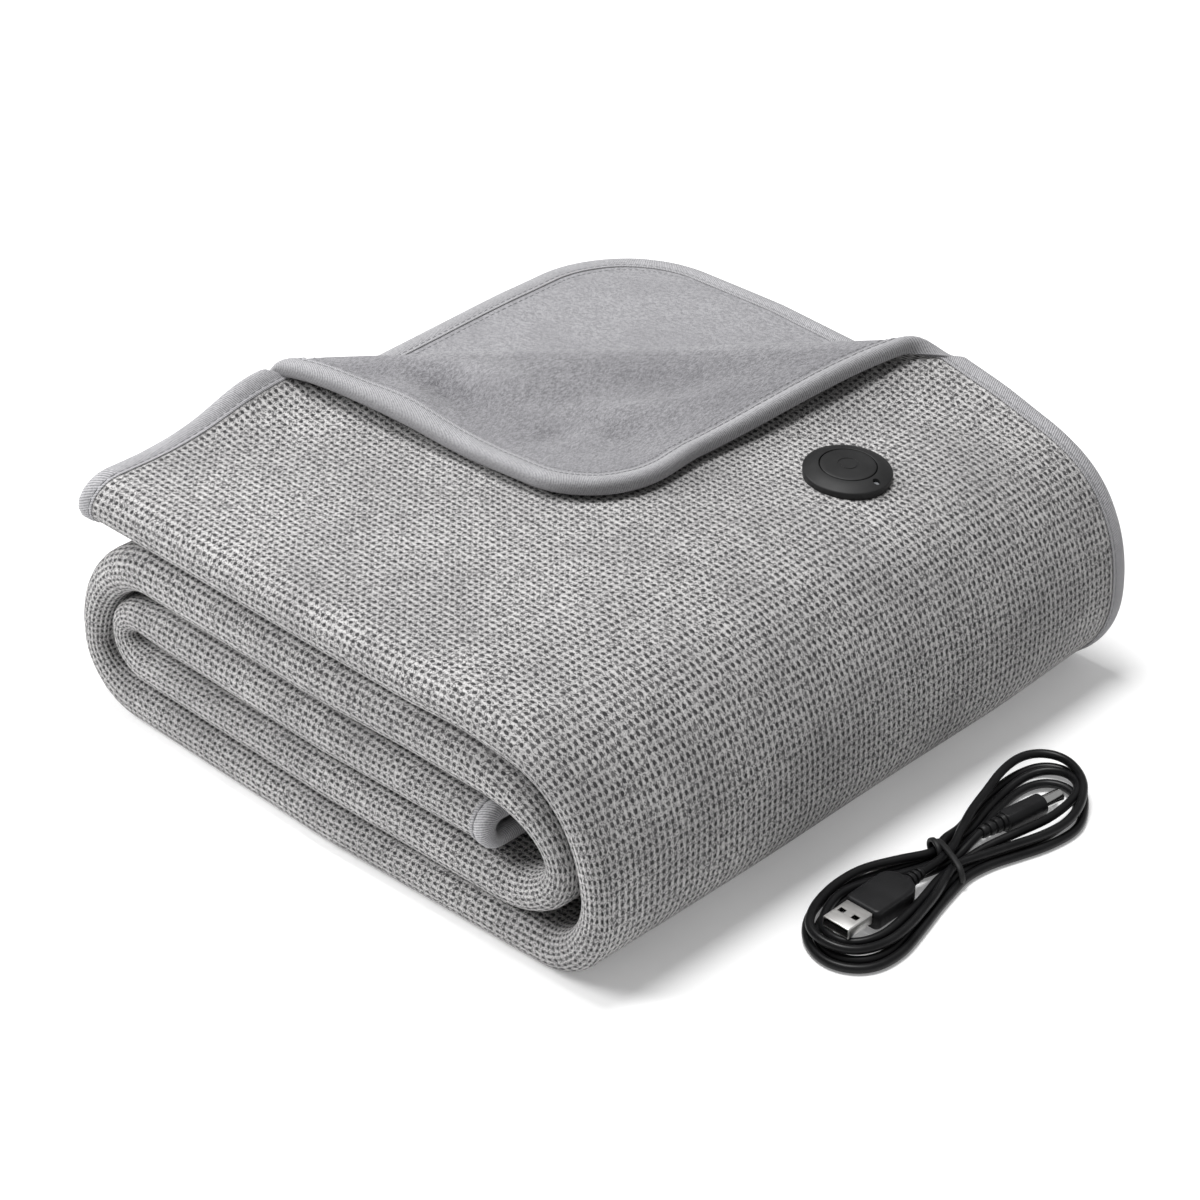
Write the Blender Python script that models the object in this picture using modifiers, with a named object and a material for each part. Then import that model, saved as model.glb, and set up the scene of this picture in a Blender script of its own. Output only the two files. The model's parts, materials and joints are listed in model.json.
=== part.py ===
"""Electric heated blanket with its power cable, modelled in metres, +Z up.

The blanket is two rounded rectangles of cloth, a knit face and a fleece lining, bound together
by a tape. It is folded in half lengthwise, so the fold runs along the -Y side and both bound long
edges lie at +Y, and then rolled up flat into five doubled layers. The upper ply's corner at
(-X, +Y) is turned back over the top. A round control sits on the top layer. The cable lies beside
the blanket at +X, wound into a tied hank with a flat plug at -Y and a round one at +Y.

The cloth is drawn flat in pattern coordinates (u along the roll, w across the fold, h up through
the cloth, knit side up), scored along every line where it bends, given its thickness, and folded.
"""
import math

import bmesh
import bpy
import numpy as np
from mathutils import Matrix, Vector

MM = 0.001

# Cloth: thickness of each sheet, and the gap that pieces keep between them.
GAP = 0.0003
KNIT_THICK = 2.2 * MM
LINING_THICK = 2.4 * MM
PLY_HALF = (KNIT_THICK + GAP + LINING_THICK) / 2

# Binding tape: width on each face, wall, and the slot that the cloth's edge sits in.
TAPE_WIDTH = 8.5 * MM
TAPE_WALL = 0.7 * MM
TAPE_EDGE_WALL = 1.2 * MM
TAPE_SLOT_HALF = PLY_HALF + GAP
TAPE_HALF = TAPE_SLOT_HALF + TAPE_WALL
TAPE_ROUND = 1.0 * MM

# Pattern: the blanket cut flat. Its length follows from the roll below.
PATTERN_WIDTH = 612 * MM
CORNER_RADIUS = 50 * MM
CORNER_STEPS = 6
FOLD_ARC = 24 * MM
FOLD_FACETS = 6
PLY_FACETS = 4

# The roll, seen along +Y: each row is a station on the middle of the doubled cloth, from its
# outer end on top to its inner end. x and z are in mm, heading is the direction of travel in
# degrees, thick is the doubled cloth's thickness, and facets counts the flats from the row
# above. fold_y is the folded side, low_y the bound edge of the inner ply, high_y of the outer.
ROLL_COLUMNS = ("x", "z", "heading", "thick", "fold_y", "low_y", "high_y", "facets")
ROLL = (
    (-138.0, 95.2, 0.0, 22.2, -152.8, 155.5, 151.0, 0),
    (50.0, 94.1, 0.0, 20.0, -152.3, 155.0, 151.0, 6),
    (96.0, 91.0, -9.0, 18.6, -150.0, 152.0, 151.0, 1),
    (133.7, 40.0, -90.0, 12.6, -147.0, 150.0, 151.5, 7),
    (109.0, 8.8, -180.0, 17.6, -147.5, 149.0, 151.5, 4),
    (0.0, 8.8, -180.0, 17.6, -152.6, 150.0, 152.0, 3),
    (-116.0, 8.8, -180.0, 17.6, -151.6, 151.5, 153.0, 3),
    (-139.9, 29.0, -270.0, 12.0, -150.5, 151.0, 153.0, 4),
    (-100.0, 72.0, -360.0, 21.4, -151.5, 149.5, 151.0, 7),
    (0.0, 72.2, -360.0, 22.0, -152.6, 148.0, 150.0, 2),
    (78.0, 71.6, -362.0, 21.0, -150.5, 149.0, 150.5, 2),
    (117.4, 47.0, -450.0, 12.4, -148.0, 150.0, 152.0, 6),
    (90.0, 28.0, -540.0, 18.4, -149.5, 150.5, 152.0, 4),
    (0.0, 28.3, -540.0, 19.4, -152.0, 150.0, 151.0, 2),
    (-108.0, 28.2, -540.0, 15.5, -151.5, 149.0, 150.0, 2),
    (-122.8, 38.6, -630.0, 11.6, -149.0, 149.5, 150.5, 4),
    (-108.0, 49.2, -720.0, 15.5, -150.0, 150.0, 151.0, 4),
    (-90.0, 49.6, -720.0, 19.6, -151.0, 150.5, 151.5, 1),
    (0.0, 49.6, -720.0, 20.8, -152.4, 151.0, 152.0, 2),
    (88.0, 49.4, -720.0, 17.4, -150.0, 151.0, 152.0, 3),
)
HANDLE = 0.55

# Places below are in plan from the roll's own zero, which lies here from the part's origin.
ROLL_ZERO = Vector((3.09 * MM, -0.785 * MM, 0.0))

# Where both bound edges lie together the plies are pinched by up to PINCH, but never closer
# than the tape on each of them allows. The pinch grows over the last quarter of the ply.
PINCH = 1.5 * MM
TAPE_CLEAR = 0.2 * MM
PINCH_FROM = 0.75

# Outer end: the upper ply stops short of the fold and the lower ply runs past it, and the
# lower ply's free corner stands up a little. LIFT_ACROSS is a share of the ply's width.
END_FADE = 188 * MM
UPPER_SHORT = 8 * MM
LOWER_LONG = 6.5 * MM
CORNER_LIFT = 8.5 * MM
LIFT_ACROSS = (0.25, 0.75)
LIFT_ALONG = (94 * MM, 234 * MM)

# Turned-back corner: the cloth swells up to the crease, rises round a wide bend, comes over a
# tight one, and lies down on the top. The crease is a line in plan, and the cloth beyond it
# also slides along it, by a shift and a share of the distance: at the crest, and where it lies.
CREASE_POINT = Vector((-111.54 * MM, -43.05 * MM))
CREASE_ANGLE = math.radians(49.4)
SWELL_RUN = 46 * MM
SWELL_HEIGHT = 8.8 * MM
SWELL_POWER = 1.5
SWELL_FACETS = 3
RISE_RADIUS = 4.5 * MM
RISE_FACETS = 4
TURN_RADIUS = 4.5 * MM
TURN_FACETS = 6
FALL_RUN = 75 * MM
FALL_FACETS = 5
FLAP_LIMIT = 200 * MM
LIE_HEIGHT = 6.9 * MM
LIE_REACH = 0.83
CREST_SLIDE = (-9.1 * MM, -0.013)
LIE_SLIDE = (3.0 * MM, -0.202)
LIE_SKEW = -0.0895

# Control: a turned housing with a button in a well and a small light window in its rim.
CONTROL_XY = (72.0 * MM, 56.5 * MM)
HOUSING_RADIUS = 17.4 * MM
HOUSING_WALL = 3.2 * MM
HOUSING_TOP = 5.6 * MM
BUTTON_RADIUS = 10.95 * MM
WELL_RADIUS = BUTTON_RADIUS + 0.4 * MM
WELL_FLOOR = 1.4 * MM
BUTTON_TRAVEL = 0.8 * MM
BUTTON_TOP = 5.9 * MM
LIGHT_OFFSET = 14.2 * MM
LIGHT_RADIUS = 1.3 * MM
LIGHT_FLOOR = 3.0 * MM
LIGHT_TOP = 4.3 * MM
TURN_STEPS = 36
LIGHT_STEPS = 16
PLUG_STEPS = 24
RELIEF_STEPS = 10

# Cable: its hank lies on the surface beside the roll. Outlines are points in plan, in mm, that
# a smooth closed curve goes through: the hank's outer edge, and the eye of each of its loops.
HANK_EDGE = (
    (186, -5), (187.5, -21), (193.5, -38), (196.5, -56), (192, -70), (181, -75), (166, -69),
    (156, -57), (153, -41), (158, -23), (164, -6), (163.5, 4), (161, 22), (157, 40),
    (156, 60), (160, 74), (169, 78), (182, 70), (192.5, 54), (194, 36), (188.5, 16), (185, 4),
)
USB_EYE = (
    (168, -13.6), (180, -13.6), (182.5, -28), (185.5, -44), (185, -57), (178, -65), (168, -65),
    (160, -57), (158, -42), (163, -24),
)
DC_EYE = (
    (169, 21), (178, 21), (183.5, 35), (186.5, 50), (185.5, 61), (179, 66), (170, 64), (164.5, 54),
    (163.5, 42), (166.5, 30),
)
CURVE_STEPS = 2
HANK_HEIGHT = 9.6 * MM
HANK_CHAMFER = 1.8 * MM

# The tie: a round band about the hank's waist, in an upright plane that slants in plan, with an
# eye at its far upper corner. Its path is (distance across, height) in mm.
TIE_CENTRE = Vector((175.3 * MM, -0.6 * MM, 0.0))
TIE_SLANT = math.radians(-25.0)
TIE_RADIUS = 1.3 * MM
TIE_PATH = (
    (-9, 1.8), (0, 1.8), (9, 1.8), (12, 3.2), (12.6, 5.4), (11.4, 8.2), (9, 9.6),
    (0, 9.9), (-9, 9.9), (-12.6, 9.4), (-13.4, 7.2), (-12.4, 3.4),
)

USB_AXIS_X = 174.0 * MM
USB_SHELL = (12.0 * MM, 12.6 * MM, 4.5 * MM)
USB_SHELL_WALL = 0.35 * MM
USB_MOUTH_Y = -62.0 * MM
USB_MID_Z = 8.0 * MM
USB_BODY = (16.0 * MM, 25.0 * MM, 8.4 * MM)
USB_BODY_MID_Z = 6.5 * MM
USB_BODY_ROUND = 1.6 * MM
USB_TONGUE = (10.4 * MM, 10.0 * MM, 1.8 * MM)
USB_TONGUE_INSET = 1.2 * MM
USB_RELIEF = {"length": 9.0 * MM, "thick_radius": 3.3 * MM, "thin_radius": 2.4 * MM, "ribs": 3}

DC_START = Vector((173.23 * MM, 21.11 * MM))
DC_ANGLE = math.radians(81.0)
DC_MID_Z = 5.2 * MM
DC_RELIEF = {"length": 11.0 * MM, "thick_radius": 3.5 * MM, "thin_radius": 2.5 * MM, "ribs": 3}
DC_BODY_LENGTH = 19.5 * MM
DC_BODY_RADIUS = 4.4 * MM
DC_BARREL_LENGTH = 9.5 * MM
DC_BARREL_RADIUS = 2.75 * MM
DC_BORE_RADIUS = 1.05 * MM
DC_BORE_DEPTH = 8.0 * MM

MATERIALS = {
    # name: (colour, roughness, metallic)
    "heather_knit": ((0.38, 0.37, 0.37), 0.95, 0.0),
    "grey_fleece": ((0.32, 0.32, 0.34), 0.95, 0.0),
    "grey_twill_tape": ((0.27, 0.27, 0.29), 0.85, 0.0),
    "black_housing": ((0.03, 0.03, 0.032), 0.5, 0.0),
    "black_button": ((0.035, 0.035, 0.038), 0.45, 0.0),
    "clear_light": ((0.55, 0.55, 0.56), 0.2, 0.0),
    "black_cable": ((0.012, 0.012, 0.013), 0.45, 0.0),
    "black_tie": ((0.02, 0.02, 0.021), 0.5, 0.0),
    "black_plug": ((0.014, 0.014, 0.015), 0.5, 0.0),
    "plated_shell": ((0.62, 0.6, 0.57), 0.3, 1.0),
    "bright_barrel": ((0.75, 0.75, 0.76), 0.15, 1.0),
}


# ---------------------------------------------------------------- scene and materials

def clear_scene():
    for item in list(bpy.data.objects):
        bpy.data.objects.remove(item, do_unlink=True)


def new_collection(name):
    collection = bpy.data.collections.new(name)
    bpy.context.scene.collection.children.link(collection)
    return collection


def material(name):
    colour, roughness, metallic = MATERIALS[name]
    surface = bpy.data.materials.new(name)
    surface.use_nodes = True
    shader = surface.node_tree.nodes["Principled BSDF"]
    shader.inputs["Base Color"].default_value = (*colour, 1.0)
    shader.inputs["Roughness"].default_value = roughness
    shader.inputs["Metallic"].default_value = metallic
    surface.diffuse_color = (*colour, 1.0)
    return surface


def add_piece(name, mesh, surface, collection, smooth_angle=35.0):
    piece = bpy.data.objects.new(name, mesh)
    collection.objects.link(piece)
    mesh.materials.clear()
    mesh.materials.append(material(surface))
    mesh.shade_smooth()
    mesh.set_sharp_from_angle(angle=math.radians(smooth_angle))
    return piece


def mesh_from(bm, name):
    bmesh.ops.recalc_face_normals(bm, faces=bm.faces[:])
    mesh = bpy.data.meshes.new(name)
    bm.to_mesh(mesh)
    bm.free()
    return mesh


# ---------------------------------------------------------------- the roll

def bend_point(start, end, t):
    """A point and travel direction on the cubic from one station to the next."""
    a, b = Vector((start["x"], start["z"])), Vector((end["x"], end["z"]))
    head_a, head_b = math.radians(start["heading"]), math.radians(end["heading"])
    dir_a = Vector((math.cos(head_a), math.sin(head_a)))
    dir_b = Vector((math.cos(head_b), math.sin(head_b)))
    span = b - a
    c = a + dir_a * HANDLE * abs(span.dot(dir_a))
    d = b - dir_b * HANDLE * abs(span.dot(dir_b))
    s = 1.0 - t
    point = s ** 3 * a + 3 * s * s * t * c + 3 * s * t * t * d + t ** 3 * b
    travel = s * s * (c - a) + 2 * s * t * (d - c) + t * t * (b - d)
    return point, travel.normalized()


def build_roll():
    """Stations at every flat of the roll, as arrays over the pattern's length u."""
    rows = [dict(zip(ROLL_COLUMNS, row)) for row in ROLL]
    names = ("u", "x", "z", "nx", "nz", "thick", "fold_y", "low_y", "high_y")
    table = {name: [] for name in names}
    length = 0.0
    fine = 60

    def keep(u, point, travel, row_a, row_b, t):
        values = {"u": u, "x": point.x, "z": point.y, "nx": -travel.y, "nz": travel.x}
        for key in ("thick", "fold_y", "low_y", "high_y"):
            values[key] = row_a[key] + (row_b[key] - row_a[key]) * t
        for key in names:
            table[key].append(values[key] * (1.0 if key in ("nx", "nz") else MM))

    for start, end in zip(rows, rows[1:]):
        samples = [bend_point(start, end, k / fine) for k in range(fine + 1)]
        steps = [(samples[k + 1][0] - samples[k][0]).length for k in range(fine)]
        reach = np.concatenate(([0.0], np.cumsum(steps)))
        if start is rows[0]:
            keep(0.0, samples[0][0], samples[0][1], start, end, 0.0)
        for facet in range(1, end["facets"] + 1):
            share = facet / end["facets"]
            t = float(np.interp(share * reach[-1], reach, np.linspace(0, 1, fine + 1)))
            point, travel = bend_point(start, end, t)
            keep(length + share * reach[-1], point, travel, start, end, share)
        length += reach[-1]
    columns = {key: np.array(values) for key, values in table.items()}
    room = columns["thick"] / 2 - PLY_HALF - TAPE_HALF - TAPE_CLEAR
    columns["pinch"] = np.minimum(PINCH, room)
    return columns


ROLL_AT = build_roll()
LENGTH = float(ROLL_AT["u"][-1])
WIDTH = PATTERN_WIDTH
PLY = (WIDTH - FOLD_ARC) / 2


def roll_value(name, u):
    return float(np.interp(u, ROLL_AT["u"], ROLL_AT[name]))


def ramp(value, start, run):
    return min(max((value - start) / run, 0.0), 1.0)


# ---------------------------------------------------------------- the turned-back corner

CREASE_ALONG = Vector((math.cos(CREASE_ANGLE), math.sin(CREASE_ANGLE)))
CREASE_OUT = Vector((-math.sin(CREASE_ANGLE), math.cos(CREASE_ANGLE)))


def build_turn():
    """Rows across the crease, as arrays over the distance beyond it on the cloth."""
    rows = []

    def keep(beyond, out, height, tilt, slide):
        rows.append((beyond, out, height, -math.sin(tilt), math.cos(tilt), *slide))

    for k in range(SWELL_FACETS + 1):
        t = k / SWELL_FACETS
        out = SWELL_RUN * (t - 1.0)
        slope = SWELL_POWER * t ** (SWELL_POWER - 1.0) * SWELL_HEIGHT / SWELL_RUN
        lean = math.atan(slope)
        keep(out, out, SWELL_HEIGHT * t ** SWELL_POWER, lean, (0, 0))
    rise_arc = RISE_RADIUS * (math.pi / 2 - lean)
    turn_arc = TURN_RADIUS * math.pi / 2
    crest = rise_arc + turn_arc
    beyond, out, height = 0.0, 0.0, SWELL_HEIGHT
    for k in range(1, RISE_FACETS + 1):
        tilt = lean + (math.pi / 2 - lean) * k / RISE_FACETS
        beyond = rise_arc * k / RISE_FACETS
        out = RISE_RADIUS * (math.sin(tilt) - math.sin(lean))
        height = SWELL_HEIGHT + RISE_RADIUS * (math.cos(lean) - math.cos(tilt))
        keep(beyond, out, height, tilt, [v * beyond / crest for v in CREST_SLIDE])
    far_out, mid_height = out, height
    for k in range(1, TURN_FACETS + 1):
        tilt = math.pi / 2 * (1 + k / TURN_FACETS)
        beyond = rise_arc + turn_arc * k / TURN_FACETS
        out = far_out - TURN_RADIUS * (1 - math.sin(tilt))
        height = mid_height - TURN_RADIUS * math.cos(tilt)
        keep(beyond, out, height, tilt, [v * beyond / crest for v in CREST_SLIDE])
    top = height
    for k in range(1, FALL_FACETS + 2):
        t = min(k / FALL_FACETS, 1.0)
        run = FALL_RUN * t if k <= FALL_FACETS else FLAP_LIMIT
        slide = [a + (b - a) * t for a, b in zip(CREST_SLIDE, LIE_SLIDE)]
        slide[0] += LIE_SKEW * run
        fallen = t * t * (3 - 2 * t)
        keep(crest + run, out - LIE_REACH * run, top + (LIE_HEIGHT - top) * fallen, math.pi, slide)
    return np.array(rows), crest


TURN_ROWS, TURN_END = build_turn()


def turn_back(middle, normal, h, unpinch):
    """Carries a point of the upper ply, h along the normal from its middle, round the crease."""
    plan = Vector((middle.x, middle.y)) - CREASE_POINT
    beyond = plan.dot(CREASE_OUT)
    if beyond <= TURN_ROWS[0, 0]:
        return middle + h * normal
    out, height, tilt_out, tilt_up, shift, stretch = (
        float(np.interp(beyond, TURN_ROWS[:, 0], TURN_ROWS[:, k])) for k in range(1, 7))
    along = plan.dot(CREASE_ALONG)
    along += shift + stretch * along
    spot = CREASE_POINT + CREASE_ALONG * along + CREASE_OUT * out
    height += unpinch * ramp(beyond, -SWELL_RUN, SWELL_RUN + TURN_END)
    lean = CREASE_OUT.to_3d() * tilt_out + normal * tilt_up
    return Vector((spot.x, spot.y, middle.z + height)) + h * lean


# ---------------------------------------------------------------- folding the pattern

OUTER_TURN_U = float(ROLL_AT["u"][int(np.argmax(ROLL_AT["x"]))])
FOLD_ANGLES = [math.pi * (k / FOLD_FACETS - 0.5) for k in range(FOLD_FACETS + 1)]
FOLD_W = [PLY + FOLD_ARC * k / FOLD_FACETS for k in range(FOLD_FACETS + 1)]


def fold(point):
    """Where a point of the flat blanket lies once it is folded, rolled and turned back."""
    u, w, h = point
    thick = roll_value("thick", u)
    fold_y = roll_value("fold_y", u)
    ply_mid = thick / 2 - PLY_HALF
    hinge_y = fold_y + thick / 2
    lower, upper = w < FOLD_W[0], w > FOLD_W[-1]
    pinch, run = 0.0, 0.0
    if lower or upper:
        edge_y = roll_value("low_y" if lower else "high_y", u)
        run = (PLY - w if lower else w - PLY - FOLD_ARC) / PLY
        y = hinge_y + (edge_y - hinge_y) * run
        pinch = roll_value("pinch", u) * ramp(run, PINCH_FROM, 1.0 - PINCH_FROM)
        side = -1.0 if lower else 1.0
        offset = side * (ply_mid - pinch + h)
    else:
        cos_w = float(np.interp(w, FOLD_W, [math.cos(a) for a in FOLD_ANGLES]))
        sin_w = float(np.interp(w, FOLD_W, [math.sin(a) for a in FOLD_ANGLES]))
        y = hinge_y - (ply_mid + h) * cos_w
        offset = (ply_mid + h) * sin_w
    x = roll_value("x", u) + offset * roll_value("nx", u)
    z = roll_value("z", u) + offset * roll_value("nz", u)
    fade = 1.0 - ramp(u, 0.0, END_FADE)
    x += fade * UPPER_SHORT * ramp(w, FOLD_W[0], FOLD_ARC)
    x -= fade * LOWER_LONG * (1.0 - ramp(w, PLY / 2, PLY / 2))
    if lower:
        lift = CORNER_LIFT * ramp(run, LIFT_ACROSS[0], LIFT_ACROSS[1] - LIFT_ACROSS[0])
        z += lift * (1.0 - ramp(u, LIFT_ALONG[0], LIFT_ALONG[1] - LIFT_ALONG[0]))
    spot = Vector((x, y, z))
    if upper and u < OUTER_TURN_U:
        normal = Vector((roll_value("nx", u), 0.0, roll_value("nz", u)))
        return turn_back(spot - h * normal, normal, h, pinch)
    return spot


# ---------------------------------------------------------------- pattern solids

def rounded_outline(inset):
    """The blanket's outline in the pattern, a rounded rectangle, drawn in by inset."""
    radius = CORNER_RADIUS - inset
    points = []
    corners = ((LENGTH, WIDTH, 0), (0.0, WIDTH, 90), (0.0, 0.0, 180), (LENGTH, 0.0, 270))
    for corner_u, corner_w, first in corners:
        centre_u = corner_u + (CORNER_RADIUS if corner_u == 0.0 else -CORNER_RADIUS)
        centre_w = corner_w + (CORNER_RADIUS if corner_w == 0.0 else -CORNER_RADIUS)
        for k in range(CORNER_STEPS + 1):
            angle = math.radians(first + 90 * k / CORNER_STEPS)
            points.append((centre_u + radius * math.cos(angle),
                           centre_w + radius * math.sin(angle)))
    return points


def score(bm, place, direction):
    """Adds an edge everywhere the cloth crosses a bend line."""
    everything = bm.verts[:] + bm.edges[:] + bm.faces[:]
    bmesh.ops.bisect_plane(bm, geom=everything, dist=1e-7, plane_co=place,
                           plane_no=direction)


def crease_in_pattern(beyond):
    """The bend line that lies this far beyond the crease, as a line in the pattern."""
    x_0, x_1 = fold_flat_x(0.0), fold_flat_x(END_FADE)
    per_u = (x_1 - x_0) / END_FADE
    hinge_y = (ROLL[0][4] + ROLL[0][3] / 2) * MM
    per_w = (ROLL[0][6] * MM - hinge_y) / PLY
    spot = CREASE_POINT + CREASE_OUT * beyond
    u = (spot.x - x_0) / per_u
    w = PLY + FOLD_ARC + (spot.y - hinge_y) / per_w
    return (u, w, 0.0), (CREASE_OUT.x * per_u, CREASE_OUT.y * per_w, 0.0)


def fold_flat_x(u):
    return roll_value("x", u) + UPPER_SHORT * (1.0 - ramp(u, 0.0, END_FADE))


def score_all(bm):
    for u in ROLL_AT["u"][1:-1]:
        score(bm, (u, 0.0, 0.0), (1.0, 0.0, 0.0))
    lines_w = [PLY * k / PLY_FACETS for k in range(1, PLY_FACETS)]
    lines_w += FOLD_W + [WIDTH - w for w in lines_w]
    for w in lines_w:
        score(bm, (0.0, w, 0.0), (0.0, 1.0, 0.0))
    for beyond in TURN_ROWS[:-1, 0]:
        place, direction = crease_in_pattern(beyond)
        score(bm, place, direction)


def cloth_panel(name, bottom, top):
    """One sheet, cut to the outline, scored, thickened from bottom to top, and folded."""
    bm = bmesh.new()
    outline = rounded_outline(TAPE_EDGE_WALL + GAP)
    bm.faces.new([bm.verts.new((u, w, bottom)) for u, w in outline])
    score_all(bm)
    bmesh.ops.triangulate(bm, faces=bm.faces[:])
    raised = bmesh.ops.extrude_face_region(bm, geom=bm.faces[:], use_keep_orig=True)
    lifted = [item for item in raised["geom"] if isinstance(item, bmesh.types.BMVert)]
    bmesh.ops.translate(bm, verts=lifted, vec=(0.0, 0.0, top - bottom))
    for vertex in bm.verts:
        vertex.co = fold(vertex.co)
    return mesh_from(bm, name)


def tape_profile():
    """The folded tape's section: distance in from the blanket's edge, and height."""
    outer = [(TAPE_WIDTH, TAPE_HALF), (TAPE_ROUND, TAPE_HALF), (0.0, TAPE_HALF - TAPE_ROUND)]
    inner = [(TAPE_EDGE_WALL, TAPE_SLOT_HALF), (TAPE_WIDTH, TAPE_SLOT_HALF)]
    lower_outer = [(inset, -height) for inset, height in reversed(outer)]
    lower_inner = [(inset, -height) for inset, height in reversed(inner)]
    return outer + lower_outer + lower_inner + inner


def binding_tape(name):
    """The tape's section carried round the outline, scored and folded with the cloth."""
    bm = bmesh.new()
    loops = [[bm.verts.new((u, w, height)) for u, w in rounded_outline(inset)]
             for inset, height in tape_profile()]
    for loop, following in zip(loops, loops[1:] + loops[:1]):
        for k in range(len(loop)):
            n = (k + 1) % len(loop)
            bm.faces.new((loop[k], loop[n], following[n], following[k]))
    score_all(bm)
    bmesh.ops.triangulate(bm, faces=bm.faces[:])
    for vertex in bm.verts:
        vertex.co = fold(vertex.co)
    return mesh_from(bm, name)


# ---------------------------------------------------------------- rigid pieces

def turned(name, profile, steps=TURN_STEPS):
    """A closed solid turned round Z from (radius, height) points, outer side top to bottom."""
    bm = bmesh.new()
    chain = [bm.verts.new((radius, 0.0, height)) for radius, height in profile]
    edges = [bm.edges.new(pair) for pair in zip(chain, chain[1:])]
    bmesh.ops.spin(bm, geom=chain + edges, cent=(0, 0, 0), axis=(0, 0, 1),
                   angle=2 * math.pi, steps=steps, use_duplicate=False)
    bmesh.ops.remove_doubles(bm, verts=bm.verts[:], dist=1e-6)
    return mesh_from(bm, name)


def box(name, size, centre, bevel=0.0, segments=2):
    bm = bmesh.new()
    bmesh.ops.create_cube(bm, size=1.0)
    bmesh.ops.scale(bm, vec=size, verts=bm.verts[:])
    if bevel:
        bmesh.ops.bevel(bm, geom=bm.edges[:], offset=bevel, segments=segments,
                        affect="EDGES", profile=0.5)
    bmesh.ops.translate(bm, vec=centre, verts=bm.verts[:])
    return mesh_from(bm, name)


def curve_mesh(name, curve):
    """The closed mesh of a curve, with its caps welded on."""
    guide = bpy.data.objects.new(name, curve)
    bpy.context.scene.collection.objects.link(guide)
    evaluated = guide.evaluated_get(bpy.context.evaluated_depsgraph_get())
    mesh = bpy.data.meshes.new_from_object(evaluated)
    bpy.data.objects.remove(guide, do_unlink=True)
    bpy.data.curves.remove(curve)
    bm = bmesh.new()
    bm.from_mesh(mesh)
    bpy.data.meshes.remove(mesh)
    bmesh.ops.remove_doubles(bm, verts=bm.verts[:], dist=1e-6)
    return mesh_from(bm, name)


def closed_spline(curve, points, steps):
    """A smooth closed line through the points, in mm."""
    spline = curve.splines.new("BEZIER")
    spline.bezier_points.add(len(points) - 1)
    spline.resolution_u = steps
    spline.use_cyclic_u = True
    for knot, place in zip(spline.bezier_points, points):
        knot.co = [value * MM for value in (*place, 0.0)[:3]]
        knot.handle_left_type = knot.handle_right_type = "AUTO"


def cut(piece, mesh, cutters):
    """Takes the cutter's shape out of the piece."""
    cutter = bpy.data.objects.new(mesh.name, mesh)
    cutters.objects.link(cutter)
    cutter.hide_render = True
    cutter.display_type = "WIRE"
    cutter.matrix_world = piece.matrix_world.copy()
    boolean = piece.modifiers.new("cut_" + mesh.name, "BOOLEAN")
    boolean.operation = "DIFFERENCE"
    boolean.solver = "EXACT"
    boolean.object = cutter


# ---------------------------------------------------------------- the control

def control_place():
    """The control's seat: on the flat of the top ply under it, square to it."""
    last = int(np.argmax(ROLL_AT["x"])) - 1
    flat = int(np.searchsorted(ROLL_AT["x"][:last], CONTROL_XY[0]))
    surface = []
    for k in (flat - 1, flat):
        reach = ROLL_AT["thick"][k] / 2
        surface.append(Vector((ROLL_AT["x"][k] + reach * ROLL_AT["nx"][k],
                               ROLL_AT["z"][k] + reach * ROLL_AT["nz"][k])))
    along = (surface[1] - surface[0]).normalized()
    share = (CONTROL_XY[0] - surface[0].x) / (surface[1].x - surface[0].x)
    spot = surface[0].lerp(surface[1], share)
    x_axis = Vector((along.x, 0.0, along.y))
    normal = Vector((-along.y, 0.0, along.x))
    turn = Matrix((x_axis, normal.cross(x_axis), normal)).transposed().to_4x4()
    place = Vector((spot.x, CONTROL_XY[1], spot.y)) + normal * GAP
    return Matrix.Translation(place) @ turn


def upright_pin(name, radius, top_radius, low, high):
    """A short round pin at the light's place in the rim, between two heights."""
    bm = bmesh.new()
    middle = Vector((LIGHT_OFFSET, 0.0, (low + high) / 2))
    bmesh.ops.create_cone(bm, cap_ends=True, segments=LIGHT_STEPS, radius1=radius,
                          radius2=top_radius, depth=high - low,
                          matrix=Matrix.Translation(middle))
    return mesh_from(bm, name)


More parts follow.
